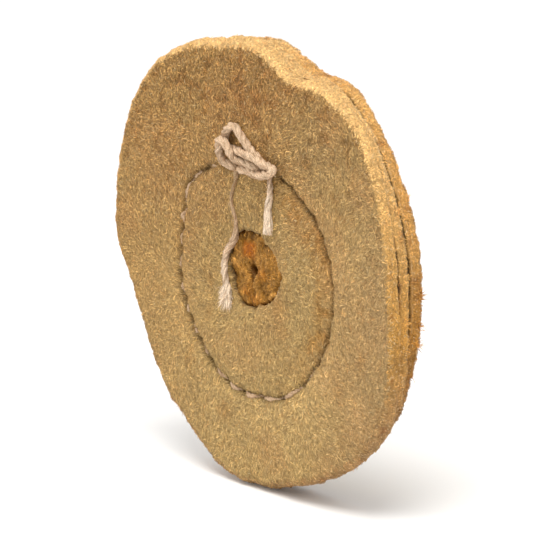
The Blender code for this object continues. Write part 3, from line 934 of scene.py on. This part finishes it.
def suede(name, base=1.0):
    """Split leather: the painted tint, broken up by fine fibres in both tone and relief. The fine ramp's dark end and a
    base below 1 add painted shade in the gaps between and under the nap fibres.
    """
    mat, nt, bsdf = principled(name)
    at = nt.nodes.new("ShaderNodeAttribute")
    at.attribute_name = "tint"
    fine = noise_node(nt, 2600, 3, 0.65, distort=0.6)
    clump = noise_node(nt, 700, 3, 0.6, distort=1.2)
    # lo, the fine ramp's dark end, is partly fibre tone, partly painted shade between the nap fibres
    lo, hi = 0.55 * base, 1.15 * base
    fine_c = ramp(nt, fine, [(0.30, (lo, lo * 0.92, lo * 0.82)), (0.52, (base, base, base)), (0.72, (hi, hi, hi * 1.02))])
    clump_c = ramp(nt, clump, [(0.30, (0.84, 0.82, 0.78)), (0.55, (1.0, 1.0, 1.0)), (0.75, (1.08, 1.08, 1.08))])
    col = multiply(nt, at.outputs["Color"], fine_c)
    col = multiply(nt, col, clump_c)
    nt.links.new(col, bsdf.inputs["Base Color"])
    bsdf.inputs["Roughness"].default_value = 0.95
    bsdf.inputs["Specular IOR Level"].default_value = 0.15
    bsdf.inputs["Sheen Weight"].default_value = 0.12
    bsdf.inputs["Sheen Roughness"].default_value = 0.6
    bump(nt, bsdf, fine, 0.7, 0.00012)
    return mat


def fibre_material(name, gain=1.0):
    """A nap fibre: its own dye, uneven along its length."""
    mat, nt, bsdf = principled(name)
    at = nt.nodes.new("ShaderNodeAttribute")
    at.attribute_name = "tint"
    blot = noise_node(nt, 1500, 2, 0.5)
    c = ramp(nt, blot, [(0.35, (0.82 * gain, 0.80 * gain, 0.76 * gain)), (0.65, (1.10 * gain,) * 3)])
    nt.links.new(multiply(nt, at.outputs["Color"], c), bsdf.inputs["Base Color"])
    bsdf.inputs["Roughness"].default_value = 0.8
    bsdf.inputs["Specular IOR Level"].default_value = 0.25
    return mat


def twine_material(name, fuzz=False):
    """Loose cotton: dye by the painted tint, fibre lines and grime by noise."""
    mat, nt, bsdf = principled(name)
    at = nt.nodes.new("ShaderNodeAttribute")
    at.attribute_name = "tint"
    fine = noise_node(nt, 3400, 2, 0.6)
    broad = noise_node(nt, 420, 3, 0.55, distort=0.6)
    a = ramp(nt, fine, [(0.30, (0.74, 0.70, 0.66)), (0.52, (1.0, 1.0, 1.0)), (0.74, (1.16, 1.16, 1.17))])
    b = ramp(nt, broad, [(0.32, (0.78, 0.72, 0.66)), (0.60, (1.04, 1.04, 1.04))])
    nt.links.new(multiply(nt, multiply(nt, at.outputs["Color"], a), b), bsdf.inputs["Base Color"])
    bsdf.inputs["Roughness"].default_value = 0.75
    bsdf.inputs["Specular IOR Level"].default_value = 0.3
    if not fuzz:
        bump(nt, bsdf, fine, 0.55, 0.00008)
    return mat


def hub_material():
    mat, nt, bsdf = principled("shellac_leather_visible")
    at = nt.nodes.new("ShaderNodeAttribute")
    at.attribute_name = "tint"
    fine = noise_node(nt, 1500, 4, 0.65, distort=0.8)
    clump = noise_node(nt, 420, 3, 0.6, distort=1.0)
    f = ramp(nt, fine, [(0.30, (0.60, 0.54, 0.46)), (0.50, (1, 1, 1)), (0.72, (1.28, 1.24, 1.16))])
    c = ramp(nt, clump, [(0.32, (0.80, 0.74, 0.64)), (0.56, (1, 1, 1)), (0.72, (1.15, 1.12, 1.08))])
    nt.links.new(multiply(nt, multiply(nt, at.outputs["Color"], f), c), bsdf.inputs["Base Color"])
    bsdf.inputs["Roughness"].default_value = 0.5
    bsdf.inputs["Specular IOR Level"].default_value = 0.12
    bump(nt, bsdf, fine, 0.5, 0.00015)
    return mat


def paint(obj, mat):
    obj.data.materials.clear()
    obj.data.materials.append(mat)


# ----------------------------------------------------------------- make pieces
front = make_front()
middle = make_plain_ply("leather_middle", (-1.92, 1.14), MIDDLE_OUTLINE, 500, (8, 5, 10, 8, 3), (0.5, 0.6), False, 0.0,
                        lambda t: (0.5 * crack_open(t, 1), 0.5 * crack_open(t, 2)))
backply = make_plain_ply("leather_back", (1.38, 5.0), BACK_OUTLINE, 700, (8, 6, 10, 104, 4), (0.6, 1.1), True, 0.0,
                         lambda t: (0.5 * crack_open(t, 2), 0.0))
for obj, mat, node in (
    (front, suede("suede_face", 0.85), "front_ply"),
    (middle, suede("suede_middle", 0.85), "middle_ply"),
    (backply, suede("suede_back", 0.85), "back_ply"),
):
    paint(obj, mat)
    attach(obj, "root")
    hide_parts(node)


def face_weight(key, which, seam=False):
    """Where fibres grow on a disc; few lie across the stitched fold."""
    theta, P, code, col = PLIES[key]
    w = np.broadcast_to(np.where(np.isin(code, which), 1.0, 0.0), P.shape[:2]).copy()
    if seam:
        d, sewn = seam_distance(P[..., 0], P[..., 2])
        side = np.clip((P[..., 0] - 6) / 10, 0, 1)
        w *= 1 - (0.88 - 0.45 * side) * sewn * np.exp(-((d / 0.5) ** 4))
    return w


def combed(seed, spread):
    """Matted nap: swept one way by handling, in locks, with strays across it."""
    def angle(p, rng):
        x, z = p[:, 0], p[:, 2]
        lock = noise3(x, 0 * x, z, 17.0, seed) * 1.5 + noise3(x, 0 * x, z, 4.0, seed + 1) * 1.0
        return np.pi / 2 + lock + rng.normal(0, spread, len(p)) + np.where(rng.random(len(p)) < 0.5, 0, np.pi)
    return angle


def nap_size(p):
    """Share of full fibre length: longest toward the lower right."""
    return 0.55 + 0.45 * np.clip((p[:, 0] * 0.5 - p[:, 2] + 26) / 60, 0, 1)


def nap_colour(seed, flip=False, hair=1.0):
    """Fibres take the face's colour there; some are bleached, some dark or reddish."""
    def colour(p, rng):
        n = len(p)
        c = nap_tint(-p[:, 0] if flip else p[:, 0], p[:, 2], seed)
        top = np.clip((p[:, 2] + 5) / 50, 0, 1) * (1 - 0.65 * np.clip((p[:, 0] - 8) / 22, 0, 1))
        g = np.exp(rng.normal(0, 1, n) * (0.21 + 0.24 * top) + 0.02) * hair
        g = np.where(rng.random(n) < 0.032, g * 1.5, g)
        g = np.where(rng.random(n) < 0.035 + 0.05 * top, g * 0.60, g)
        c = c * np.clip(g, 0.40, 2.2)[:, None]
        hue = rng.normal(0, 1, n)
        bleached = (rng.random(n) < 0.015 + 0.05 * top)[:, None]
        c = np.where(bleached, 0.45 * c + 0.55 * srgb(214, 190, 140), c)
        red = np.where(rng.random(n) < 0.05 + 0.06 * top, 1.0, 0.0)
        c = c * np.stack([1 + 0.02 * hue + 0.05 * red, 1 - 0.10 * red, 1 - 0.05 * hue - 0.16 * red], 1)
        return c
    return colour


def rim_colour(seed, gain=1.0):
    def colour(p, rng):
        n = len(p)
        c = edge_tint(np.arctan2(p[:, 2], p[:, 0]), p[:, 1], seed)
        g = np.exp(rng.normal(0.03, 0.24, n)) * gain
        g = np.where(rng.random(n) < 0.06, g * 1.35, g)
        c = c * np.clip(g, 0.5, 1.9)[:, None]
        pale = (rng.random(n) < 0.08)[:, None]
        return np.where(pale, 0.4 * c + 0.6 * srgb(232, 206, 160), c)
    return colour


def tuft(P, code, which, degrees, y, count, rng, length, width, seed, out=1.0):
    """A spray of torn fibres standing off a cut edge."""
    a = math.radians(degrees)
    target = np.array([math.cos(a), 0.0, math.sin(a)])
    cells = np.argwhere(np.broadcast_to(np.isin(code, which)[None], P.shape[:2]))
    q = P[cells[:, 0], cells[:, 1]]
    ang = np.arctan2(q[:, 2], q[:, 0])
    near = (np.abs(np.mod(ang - a + np.pi, 2 * np.pi) - np.pi) < 0.022) & (np.abs(q[:, 1] - y) < 0.7)
    q = q[near]
    root = q[rng.integers(0, len(q), count)]
    d = target * out + rng.normal(0, 0.42, (count, 3))
    d /= np.linalg.norm(d, axis=1, keepdims=True)
    L = rng.uniform(*length, count)
    bend = rng.normal(0, 0.35, (count, 3))
    t = np.linspace(0, 1, 5)[None, :, None]
    pos = (root - target * 0.15)[:, None] + d[:, None] * (L[:, None, None] * t) + bend[:, None] * (L[:, None, None] * t * t)
    nor = np.broadcast_to(np.array([0.55, -0.8, 0.2]), pos.shape)
    return (*ribbons(pos, nor, rng.uniform(*width, count)), rim_colour(seed, 1.05)(root, rng))


th, P, code, col = PLIES["front"]
nap_front = [
    grow(P, face_weight("front", (0,), True), 93000, RNG, (1.0, 3.2), (0.10, 0.21), (0.04, 0.32), combed(801, 0.60), 0.19, colour=nap_colour(300), size_of=nap_size),
    grow(P, face_weight("front", (0,), True), 6000, RNG, (0.7, 1.6), (0.07, 0.14), (0.25, 0.75), combed(805, 1.2), 0.4, colour=nap_colour(300, hair=1.2), spread=True),
]
th, Pb, codeb, colb = PLIES["leather_back"]
nap_back = [
    grow(Pb, face_weight("leather_back", (4,), True), 66000, RNG, (1.0, 3.0), (0.13, 0.26), (0.04, 0.34), combed(811, 0.60), 0.24, colour=nap_colour(700, True)),
]
th, Pm, codem, colm = PLIES["leather_middle"]
edge = [
    grow(P, face_weight("front", (1,)), 9000, RNG, (0.4, 1.3), (0.09, 0.19), (0.03, 0.24), None, 0.5, colour=rim_colour(300, 1.04)),
    grow(P, face_weight("front", (2,)), 5000, RNG, (0.4, 1.3), (0.09, 0.19), (0.03, 0.26), None, 0.5, colour=rim_colour(300)),
    grow(Pm, face_weight("leather_middle", (2,)), 8500, RNG, (0.4, 1.3), (0.09, 0.19), (0.03, 0.28), None, 0.5, colour=rim_colour(500)),
    grow(Pm, face_weight("leather_middle", (1, 3)), 700, RNG, (0.3, 0.7), (0.07, 0.13), (0.02, 0.12), None, 0.5, colour=rim_colour(500, 1.1)),
    grow(Pb, face_weight("leather_back", (2,)), 9000, RNG, (0.4, 1.4), (0.09, 0.19), (0.03, 0.30), None, 0.5, colour=rim_colour(700)),
    grow(Pb, face_weight("leather_back", (1,)), 400, RNG, (0.3, 0.7), (0.07, 0.13), (0.02, 0.12), None, 0.5, colour=rim_colour(700, 1.1)),
    grow(Pb, face_weight("leather_back", (3,)), 6000, RNG, (0.5, 1.5), (0.09, 0.19), (0.05, 0.40), None, 0.5, colour=rim_colour(700)),
]
for degrees, y, count, longest in (
    (2.0, 4.3, 46, 2.4), (-6.0, 4.3, 34, 1.9), (-11.0, 4.2, 36, 2.0), (-20.0, 4.2, 20, 1.6),
    (17.0, 4.3, 14, 1.2), (27.0, 4.3, 12, 1.1), (38.0, 4.4, 8, 1.0), (-31.0, 4.2, 10, 1.2),
    (102.0, 4.2, 10, 1.1), (-58.0, 4.0, 10, 1.1),
):
    edge.append(tuft(Pb, codeb, (2, 3), degrees, y, count, RNG, (0.5, longest), (0.08, 0.16), 700))
for degrees, y, count, longest in ((24.0, 1.5, 34, 1.6), (23.0, 1.2, 20, 1.3), (8.0, 1.2, 14, 1.0), (-4.0, 0.9, 14, 1.1), (-12.0, 1.0, 12, 1.0)):
    edge.append(tuft(Pm, codem, (2, 3), degrees, y - 0.6, count, RNG, (0.4, longest), (0.07, 0.14), 500))
for degrees in (-152.0, -147.0, -140.0, -128.0, -118.0, 110.0, 99.0):
    edge.append(tuft(P, code, (1, 2), degrees, -3.6, 12, RNG, (0.4, 1.1), (0.07, 0.14), 300))
fibre = fibre_material("nap_fibre")
for name, group, slot in (
    ("nap_front", nap_front, "face_leather"),
    ("nap_back", nap_back, "core_leather"),
    ("edge_fibres", edge, "core_leather"),
):
    for obj in fibre_pieces(name, group):
        paint(obj, fibre)
        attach(obj, "root")

# ------------------------------------------------------------------- the twine
# the darker cotton of the seam thread and the knot is partly grime, partly painted shade where the cord lies low
COTTON = srgb(232, 214, 190)
COTTON_GREY = srgb(216, 190, 160)
COTTON_DIRT_AND_SHADE = srgb(186, 158, 128)
COTTON_BURIED = srgb(172, 143, 106)
twine, twine_hair = twine_material("cotton_twine_strand"), twine_material("cotton_twine_hair", True)


def seam_path(holes, along, front_side, sink_of):
    """The seam thread as it shows: down at every needle hole, up between them."""
    pts = []
    for k in range(len(holes)):
        a, d = holes[k], along[k]
        if k:
            pts.append((*(a - d * 1.1), -0.75))
        pts.append((*a, -2.1))
        if k < len(holes) - 1:
            b = holes[k + 1]
            pts.append((*(a + d * 1.1), -0.70))
            m = (a + b) / 2
            out = np.array([d[1], -d[0]])
            pts.append((*(m - out * 0.35), -0.12))
    pts = np.array(pts)
    dense = catmull(pts, 0.16)
    x, z, h = dense.T
    base = relief(x, z, 300 if front_side else 700, fine=False, front=front_side)
    d, sewn = seam_distance(x, z)
    y0 = np.maximum(base, -1.35 * sewn)
    y = y0 + h + 0.40 - sink_of(x, z)
    return np.stack([x, (FRONT_FACE - y) if front_side else (BACK_FACE + y), z], 1)


def front_sink(x, z):
    """The thread is buried deepest on the right and at the lower left."""
    deg = np.degrees(np.mod(np.arctan2(z, x), 2 * np.pi))
    def bell(mid, half):
        return np.exp(-(((np.mod(deg - mid + 180, 360) - 180) / half) ** 4))
    knots = 0.35 * noise3(x, 0 * x, z, 3.2, 977)
    return 1.05 * bell(12, 62) + 0.62 * bell(218, 24) + 0.25 * bell(175, 30) + (0.55 + knots) * bell(125, 20)


for name, side, node, holes, along, sink in (
    ("twine_seam_front", True, "seam_thread_front", HOLES[1:-1], ALONG[1:-1], front_sink),
    ("twine_seam_back", False, "seam_thread_back", HOLES, ALONG, lambda x, z: 0.1 + 0 * x),
):
    path = seam_path(holes, along, side, sink)
    v, f = twisted(path, 0.62, 4.2, 3, RNG, ring=9)
    hv, hf = hairs_on(path, 0.6, 500, RNG, (0.4, 1.3), (0.05, 0.09), (0.2, 0.9))
    # the seam thread's darker cotton: partly grime, partly painted shade in the seam's fold
    dirt_and_shade = [(0, COTTON_DIRT_AND_SHADE), (60, COTTON_DIRT_AND_SHADE * 1.04), (80, COTTON_DIRT_AND_SHADE * 1.12), (200, COTTON_DIRT_AND_SHADE * 1.05)]
    obj = joined(name, [(v, f)], colours=lambda q: cord_tint(q, path, dirt_and_shade))
    fuzz = joined(name + "_fuzz", [(hv, hf)], smooth=False, colours=lambda q: cord_tint(q, path, dirt_and_shade))
    paint(obj, twine)
    paint(fuzz, twine_hair)
    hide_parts(node)
    for piece in (obj, fuzz):
        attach(piece, "root")


def end_path(hole, side, route):
    start = HOLES[hole] + ALONG[hole] * LEG * side
    way = [(start[0], start[1], -2.6), (start[0], start[1], -1.2), (start[0], start[1], -0.1), *route]
    dense = catmull(way, 0.14)
    x, z, h = dense.T
    base = relief(x, z, 300, fine=False)
    base = base * np.clip(1 - (h - 0.8) / 2.5, 0.3, 1)
    y = FRONT_FACE - (base + h * 0.98)
    return np.stack([x, y, z], 1)


def fray(path, n, rng, spread, length, width, back=22, flat=0.75):
    """A tuft of loose fibres at the far end of a cord."""
    t, u, v = frames_along(path)
    d = t[-8:].mean(0)
    d /= np.linalg.norm(d)
    k = rng.integers(max(1, len(path) - back), len(path), n)
    a = rng.random(n) * 2 * np.pi
    r = rng.random(n) ** 0.6
    rad = u[-1] * np.cos(a)[:, None] + v[-1] * np.sin(a)[:, None]
    rad[:, 1] *= flat
    start = path[k] + rad * (0.45 * r)[:, None]
    L = rng.uniform(*length, n)
    pos = []
    kink = rng.normal(0, 0.13, (n, 3))
    for q in np.linspace(0, 1, 6):
        flare = rad * (spread * r * q**1.3)[:, None]
        p = start + d * (L * q)[:, None] + flare + kink * (L * q * q)[:, None]
        p[:, 1] = np.minimum(p[:, 1], FRONT_FACE - 0.05)
        pos.append(p)
    pos = np.stack(pos, 1)
    nor = np.broadcast_to(np.array([0.45, -0.85, 0.1]), pos.shape)
    return ribbons(pos, nor, rng.uniform(*width, n))


def arc(path):
    return np.concatenate([[0], np.cumsum(np.linalg.norm(np.diff(path, axis=0), axis=1))])


def twine_end(name, node, path, rad, pitch, splay, stops, laid, hairs, tufts, phase):
    """One free end: three strands laid together, fuzz on it and a frayed tip."""
    v, f = twisted(path, rad, pitch, 3, RNG, ring=11, splay=splay, phase=phase)
    obj = joined(name, [(v, f)], colours=lambda q: cord_tint(q, path, stops))
    chunks = [
        yarn_fibres(path, rad, pitch, 3, RNG, laid, splay, phase),
        hairs_on(path, np.mean(rad), hairs, RNG, (0.5, 1.6), (0.04, 0.08), (0.05, 0.4)), *tufts,
    ]
    cols = []
    for verts, faces in chunks:
        # one shade for each fibre: its vertices follow each other
        piece = np.arange(len(verts)) // (10 if verts is not chunks[1][0] else 6)
        shade = np.exp(RNG.normal(0.04, 0.24, piece.max() + 1))
        dirt = RNG.random(piece.max() + 1) < 0.18
        c = cord_tint(verts, path, stops) * np.clip(shade, 0.6, 1.5)[piece][:, None]
        cols.append(np.where(dirt[piece][:, None], c * np.array([0.72, 0.62, 0.52]), c))
    cols = np.vstack(cols)
    fuzz = joined(name + "_fuzz", chunks, smooth=False, colours=lambda q: cols)
    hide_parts(node)
    paint(obj, twine)
    paint(fuzz, twine_hair)
    for piece in (obj, fuzz):
        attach(piece, "root")


# the end that makes the right of the knot, its top and the tail at the right
path = end_path(len(HOLES) - 1, 1, LONG_END)
s = arc(path)
total = s[-1]
left = total - s
tail = np.clip((16.0 - left) / 2.5, 0, 1)
grown = np.clip((11.5 - left) / 8.0, 0, 1)
rad = 0.92 * (1 - tail) + tail * (0.54 + 0.28 * grown)
pitch = 6.5 + 22 * np.clip((8.5 - left) / 3.0, 0, 1)
splay = 1 + 0.45 * grown
stops = [(0, COTTON_GREY), (total - 30, COTTON_GREY), (total - 17, COTTON_GREY), (total - 12, COTTON_GREY * 1.02), (total - 7, COTTON), (total, COTTON * 1.05)]
twine_end("twine_end_b", "twine_end_long", path, rad, pitch, splay, stops, 3600, 500,
          [brush(path, 520, RNG, 7.5, 0.95)], 1.0)

# the end that makes the loop at the left and the thin tail at the left
path = end_path(0, -1, SHORT_END)
loop = np.exp(-(((path[:, 0] + 12.4) / 2.4) ** 2) - (((path[:, 2] - 25.3) / 6.0) ** 2))
path[:, 0] += 1.15 * loop
s = arc(path)
total = s[-1]
left = total - s
thin = np.exp(-(((left - 23.5) / 7.6) ** 6))
splay = 1 + 0.7 * np.clip(1 - left / 4.0, 0, 1) ** 1.5
rad = 0.92 - 0.54 * thin - 0.20 * np.clip((15 - left) / 4, 0, 1)
pitch = 6.5 + 0 * left
path[:, 1] += 0.34 * thin
# the knot part darkens through COTTON_BURIED: partly grime, partly painted shade where the cord is buried in the knot
stops = [(0, COTTON_GREY), (total - 33, COTTON_GREY), (total - 29, COTTON_BURIED), (total - 18, COTTON_DIRT_AND_SHADE), (total - 12, COTTON_GREY * 1.05), (total - 4, COTTON), (total, COTTON)]
twine_end("twine_end_a", "twine_end_short", path, rad, pitch, splay, stops, 3000, 500,
          [fray(path, 760, RNG, 1.9, (1.2, 3.7), (0.06, 0.14), back=26)], 0.0)


# --------------------------------------------------------------------- the hub
AMBER = srgb(152, 106, 36)
# dark amber for the hub's hollows: painted shade
AMBER_SHADE = srgb(88, 53, 14)
AMBER_PALE = srgb(178, 132, 70)
ORANGE = srgb(152, 84, 0)


def blob(x, z, cx, cz, rx, rz, power=2.0):
    return np.exp(-(np.abs((x - cx) / rx) ** power) - np.abs((z - cz) / rz) ** power)


def hub_height(x, z):
    """Height of the hardened hub's crumpled face above its seat, in mm."""
    wx = x + 0.7 * noise3(x, 0 * x, z, 2.2, 631)
    wz = z + 0.7 * noise3(x, 0 * x, z, 2.2, 632)
    h = 0.42 * noise3(wx * 1.2, 0 * x, wz * 0.75, 2.3, 601) + 0.26 * noise3(wx * 1.2, 0 * x, wz * 0.8, 1.05, 602)
    h += 0.13 * noise3(x, 0 * x, z, 0.5, 603)
    h -= 1.0 * blob(x, z, -0.3, 0.0, 1.9, 1.3) + 0.75 * blob(x, z, -0.6, -3.0, 0.9, 2.0)
    h += 0.75 * blob(x, z, 1.2, -3.0, 0.55, 1.9) + 0.65 * blob(x, z, 3.4, -0.3, 1.9, 1.1)
    h += 0.55 * blob(x, z, -2.2, -5.0, 1.2, 1.0) + 0.55 * blob(x, z, 1.0, -6.6, 1.9, 1.1)
    flat = blob(x, z, -1.5, 4.3, 2.4, 1.8, 6.0)
    h = h * (1 - 0.8 * flat) + 0.30 * flat
    h += 0.45 * blob(x, z, -6.2, 2.0, 1.4, 3.4) + 0.35 * blob(x, z, 5.6, 3.6, 1.5, 2.6)
    r = np.hypot(x, z)
    turn = np.arctan2(z, x)
    edge = polar(OPENING, turn) + 0.3 + 0.95 * swell(turn, -16, 34, 16) - r
    h -= 1.0 * np.exp(-((edge - 0.1) / 0.55) ** 2) * np.clip(1.0 + 0.5 * noise3(x, 0 * x, z, 3.0, 633), 0.3, 1.4)
    return h


HUB_SEAT = -4.45


def hub_tint(x, z, H):
    c = mix(np.broadcast_to(AMBER, (*x.shape, 3)), np.broadcast_to(AMBER_PALE, (*x.shape, 3)), np.clip(0.25 + 0.8 * H, 0, 0.75))
    # darker where the face sinks, in the pit and in the gap by the leather: painted shade in the hollows
    c = mix(c, np.broadcast_to(AMBER_SHADE, c.shape), np.clip(-H * 1.3 - 0.05, 0, 0.9))
    drop = blob(x, z, -1.5, 4.3, 2.5, 1.9, 6.0)
    lump = blob(x, z, 3.4, -0.3, 1.9, 1.2) + blob(x, z, -2.2, -5.0, 1.3, 1.1) + blob(x, z, 1.0, -6.6, 2.0, 1.2)
    c = mix(c, np.broadcast_to(srgb(174, 110, 30), c.shape), np.clip(lump, 0, 0.75))
    c = mix(c, np.broadcast_to(ORANGE, c.shape), drop * 0.95)
    # pale golden streaks along the fibres: painted highlights on the hardened ridges
    vein = noise3(x * 1.3, 0 * x, z * 0.7, 0.8, 622)
    c = mix(c, np.broadcast_to(srgb(190, 140, 70), c.shape), np.clip(vein * 1.6 - 0.5, 0, 0.42) * (1 - drop))
    return c * (1 + (0.20 * noise3(x, 0 * x, z, 1.5, 621) + 0.16 * vein) * (1 - 0.8 * drop))[..., None]


def make_hub():
    n, m = 300, 80
    theta = np.linspace(0, 2 * np.pi, n, endpoint=False)
    R = polar(OPENING, theta) + 0.45 + 0.95 * swell(theta, -16, 34, 16)
    rows, code = [], []
    bore = 1.45 + 0.3 * noise3(3 * np.cos(theta), 0 * theta, 3 * np.sin(theta), 1.3, 611)
    for t in np.linspace(0, 1, m):
        rows.append((bore + (R - bore) * t, HUB_SEAT + 0 * R))
        code.append(0)
    for y in (-3.2, -2.4, -2.1):
        rows.append((R, y + 0 * R))
        code.append(1)
    for t in (0.66, 0.33, 0.0):
        rows.append((bore + (R - bore) * t, -2.05 + 0 * R))
        code.append(2)
    for y in (-2.6, -3.3):
        rows.append((bore, y + 0 * R))
        code.append(3)
    r = np.stack([a for a, _ in rows], 1)
    y = np.stack([b for _, b in rows], 1)
    c, s_ = np.cos(theta)[:, None], np.sin(theta)[:, None]
    P = np.stack([r * c, y, r * s_], -1)
    x, z = P[..., 0], P[..., 2]
    H = hub_height(x, z)
    w = np.where(np.array(code) == 0, 1.0, 0.0)[None]
    P[..., 1] -= H * w
    col = hub_tint(x, z, H)
    obj = new_mesh("hub_core", P.reshape(-1, 3), grid_faces(n, P.shape[1]), colours=col.reshape(-1, 3))
    return obj, P, w + 0 * x


hub, Ph, wh = make_hub()
paint(hub, hub_material())
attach(hub, "root")
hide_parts("hardened_hub")


def hub_fibre_colour(p, rng):
    x, z = p[:, 0], p[:, 2]
    n = len(p)
    c = hub_tint(x, z, hub_height(x, z))
    g = np.exp(rng.normal(0.06, 0.33, n))
    pale = rng.random(n) < 0.22
    c = np.where(pale[:, None], 0.6 * c + 0.4 * srgb(190, 146, 84), c)
    return c * np.clip(g, 0.45, 2.0)[:, None]


def hub_combed(p, rng):
    return np.pi / 2 + noise3(p[:, 0], 0 * p[:, 0], p[:, 2], 4.0, 641) * 1.2 + rng.normal(0, 0.6, len(p))


keep = wh * (1 - 0.97 * blob(Ph[..., 0], Ph[..., 2], -1.5, 4.3, 2.3, 1.75, 6.0))
for obj in fibre_pieces("hub_fibres", [
    grow(Ph, keep, 3600, RNG, (0.5, 1.9), (0.09, 0.20), (0.02, 0.30), hub_combed, 0.35, colour=hub_fibre_colour),
]):
    paint(obj, fibre)
    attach(obj, "root")

# ------------------------------------------------------------- floor and light
scene = bpy.context.scene
scene.view_settings.view_transform = "Standard"
scene.view_settings.look = "None"
world = bpy.data.worlds.new("studio")
scene.world = world
world.use_nodes = True
bg = world.node_tree.nodes["Background"]
bg.inputs["Color"].default_value = (1.0, 0.99, 0.975, 1)
bg.inputs["Strength"].default_value = 0.80

low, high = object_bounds()
floor_mesh = bpy.data.meshes.new("floor")
zf = low.z - 0.0002
floor_mesh.from_pydata([(-4, -4, zf), (4, -4, zf), (4, 4, zf), (-4, 4, zf)], [], [(0, 1, 2, 3)])
floor = bpy.data.objects.new("floor", floor_mesh)
scene.collection.objects.link(floor)
fmat, fnt, fb = principled("pale_floor")
fb.inputs["Base Color"].default_value = (0.93, 0.93, 0.925, 1)
fb.inputs["Roughness"].default_value = 0.9
paint(floor, fmat)
floor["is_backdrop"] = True


def area_light(name, position, size, power, colour=(1, 1, 1), target=(0, 0, 0)):
    data = bpy.data.lights.new(name, "AREA")
    data.shape = "DISK"
    data.size = size
    data.energy = power
    data.color = colour
    obj = bpy.data.objects.new(name, data)
    obj.location = position
    obj.rotation_mode = "QUATERNION"
    obj.rotation_quaternion = (Vector(target) - Vector(position)).to_track_quat("-Z", "Y")
    scene.collection.objects.link(obj)
    return obj


area_light("key", (0.35, -0.35, 1.0), 0.7, 10.0, (1.0, 0.985, 0.96))
area_light("fill", (-0.9, -0.8, 0.35), 0.8, 4.0, (1.0, 0.99, 0.98))

low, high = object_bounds()
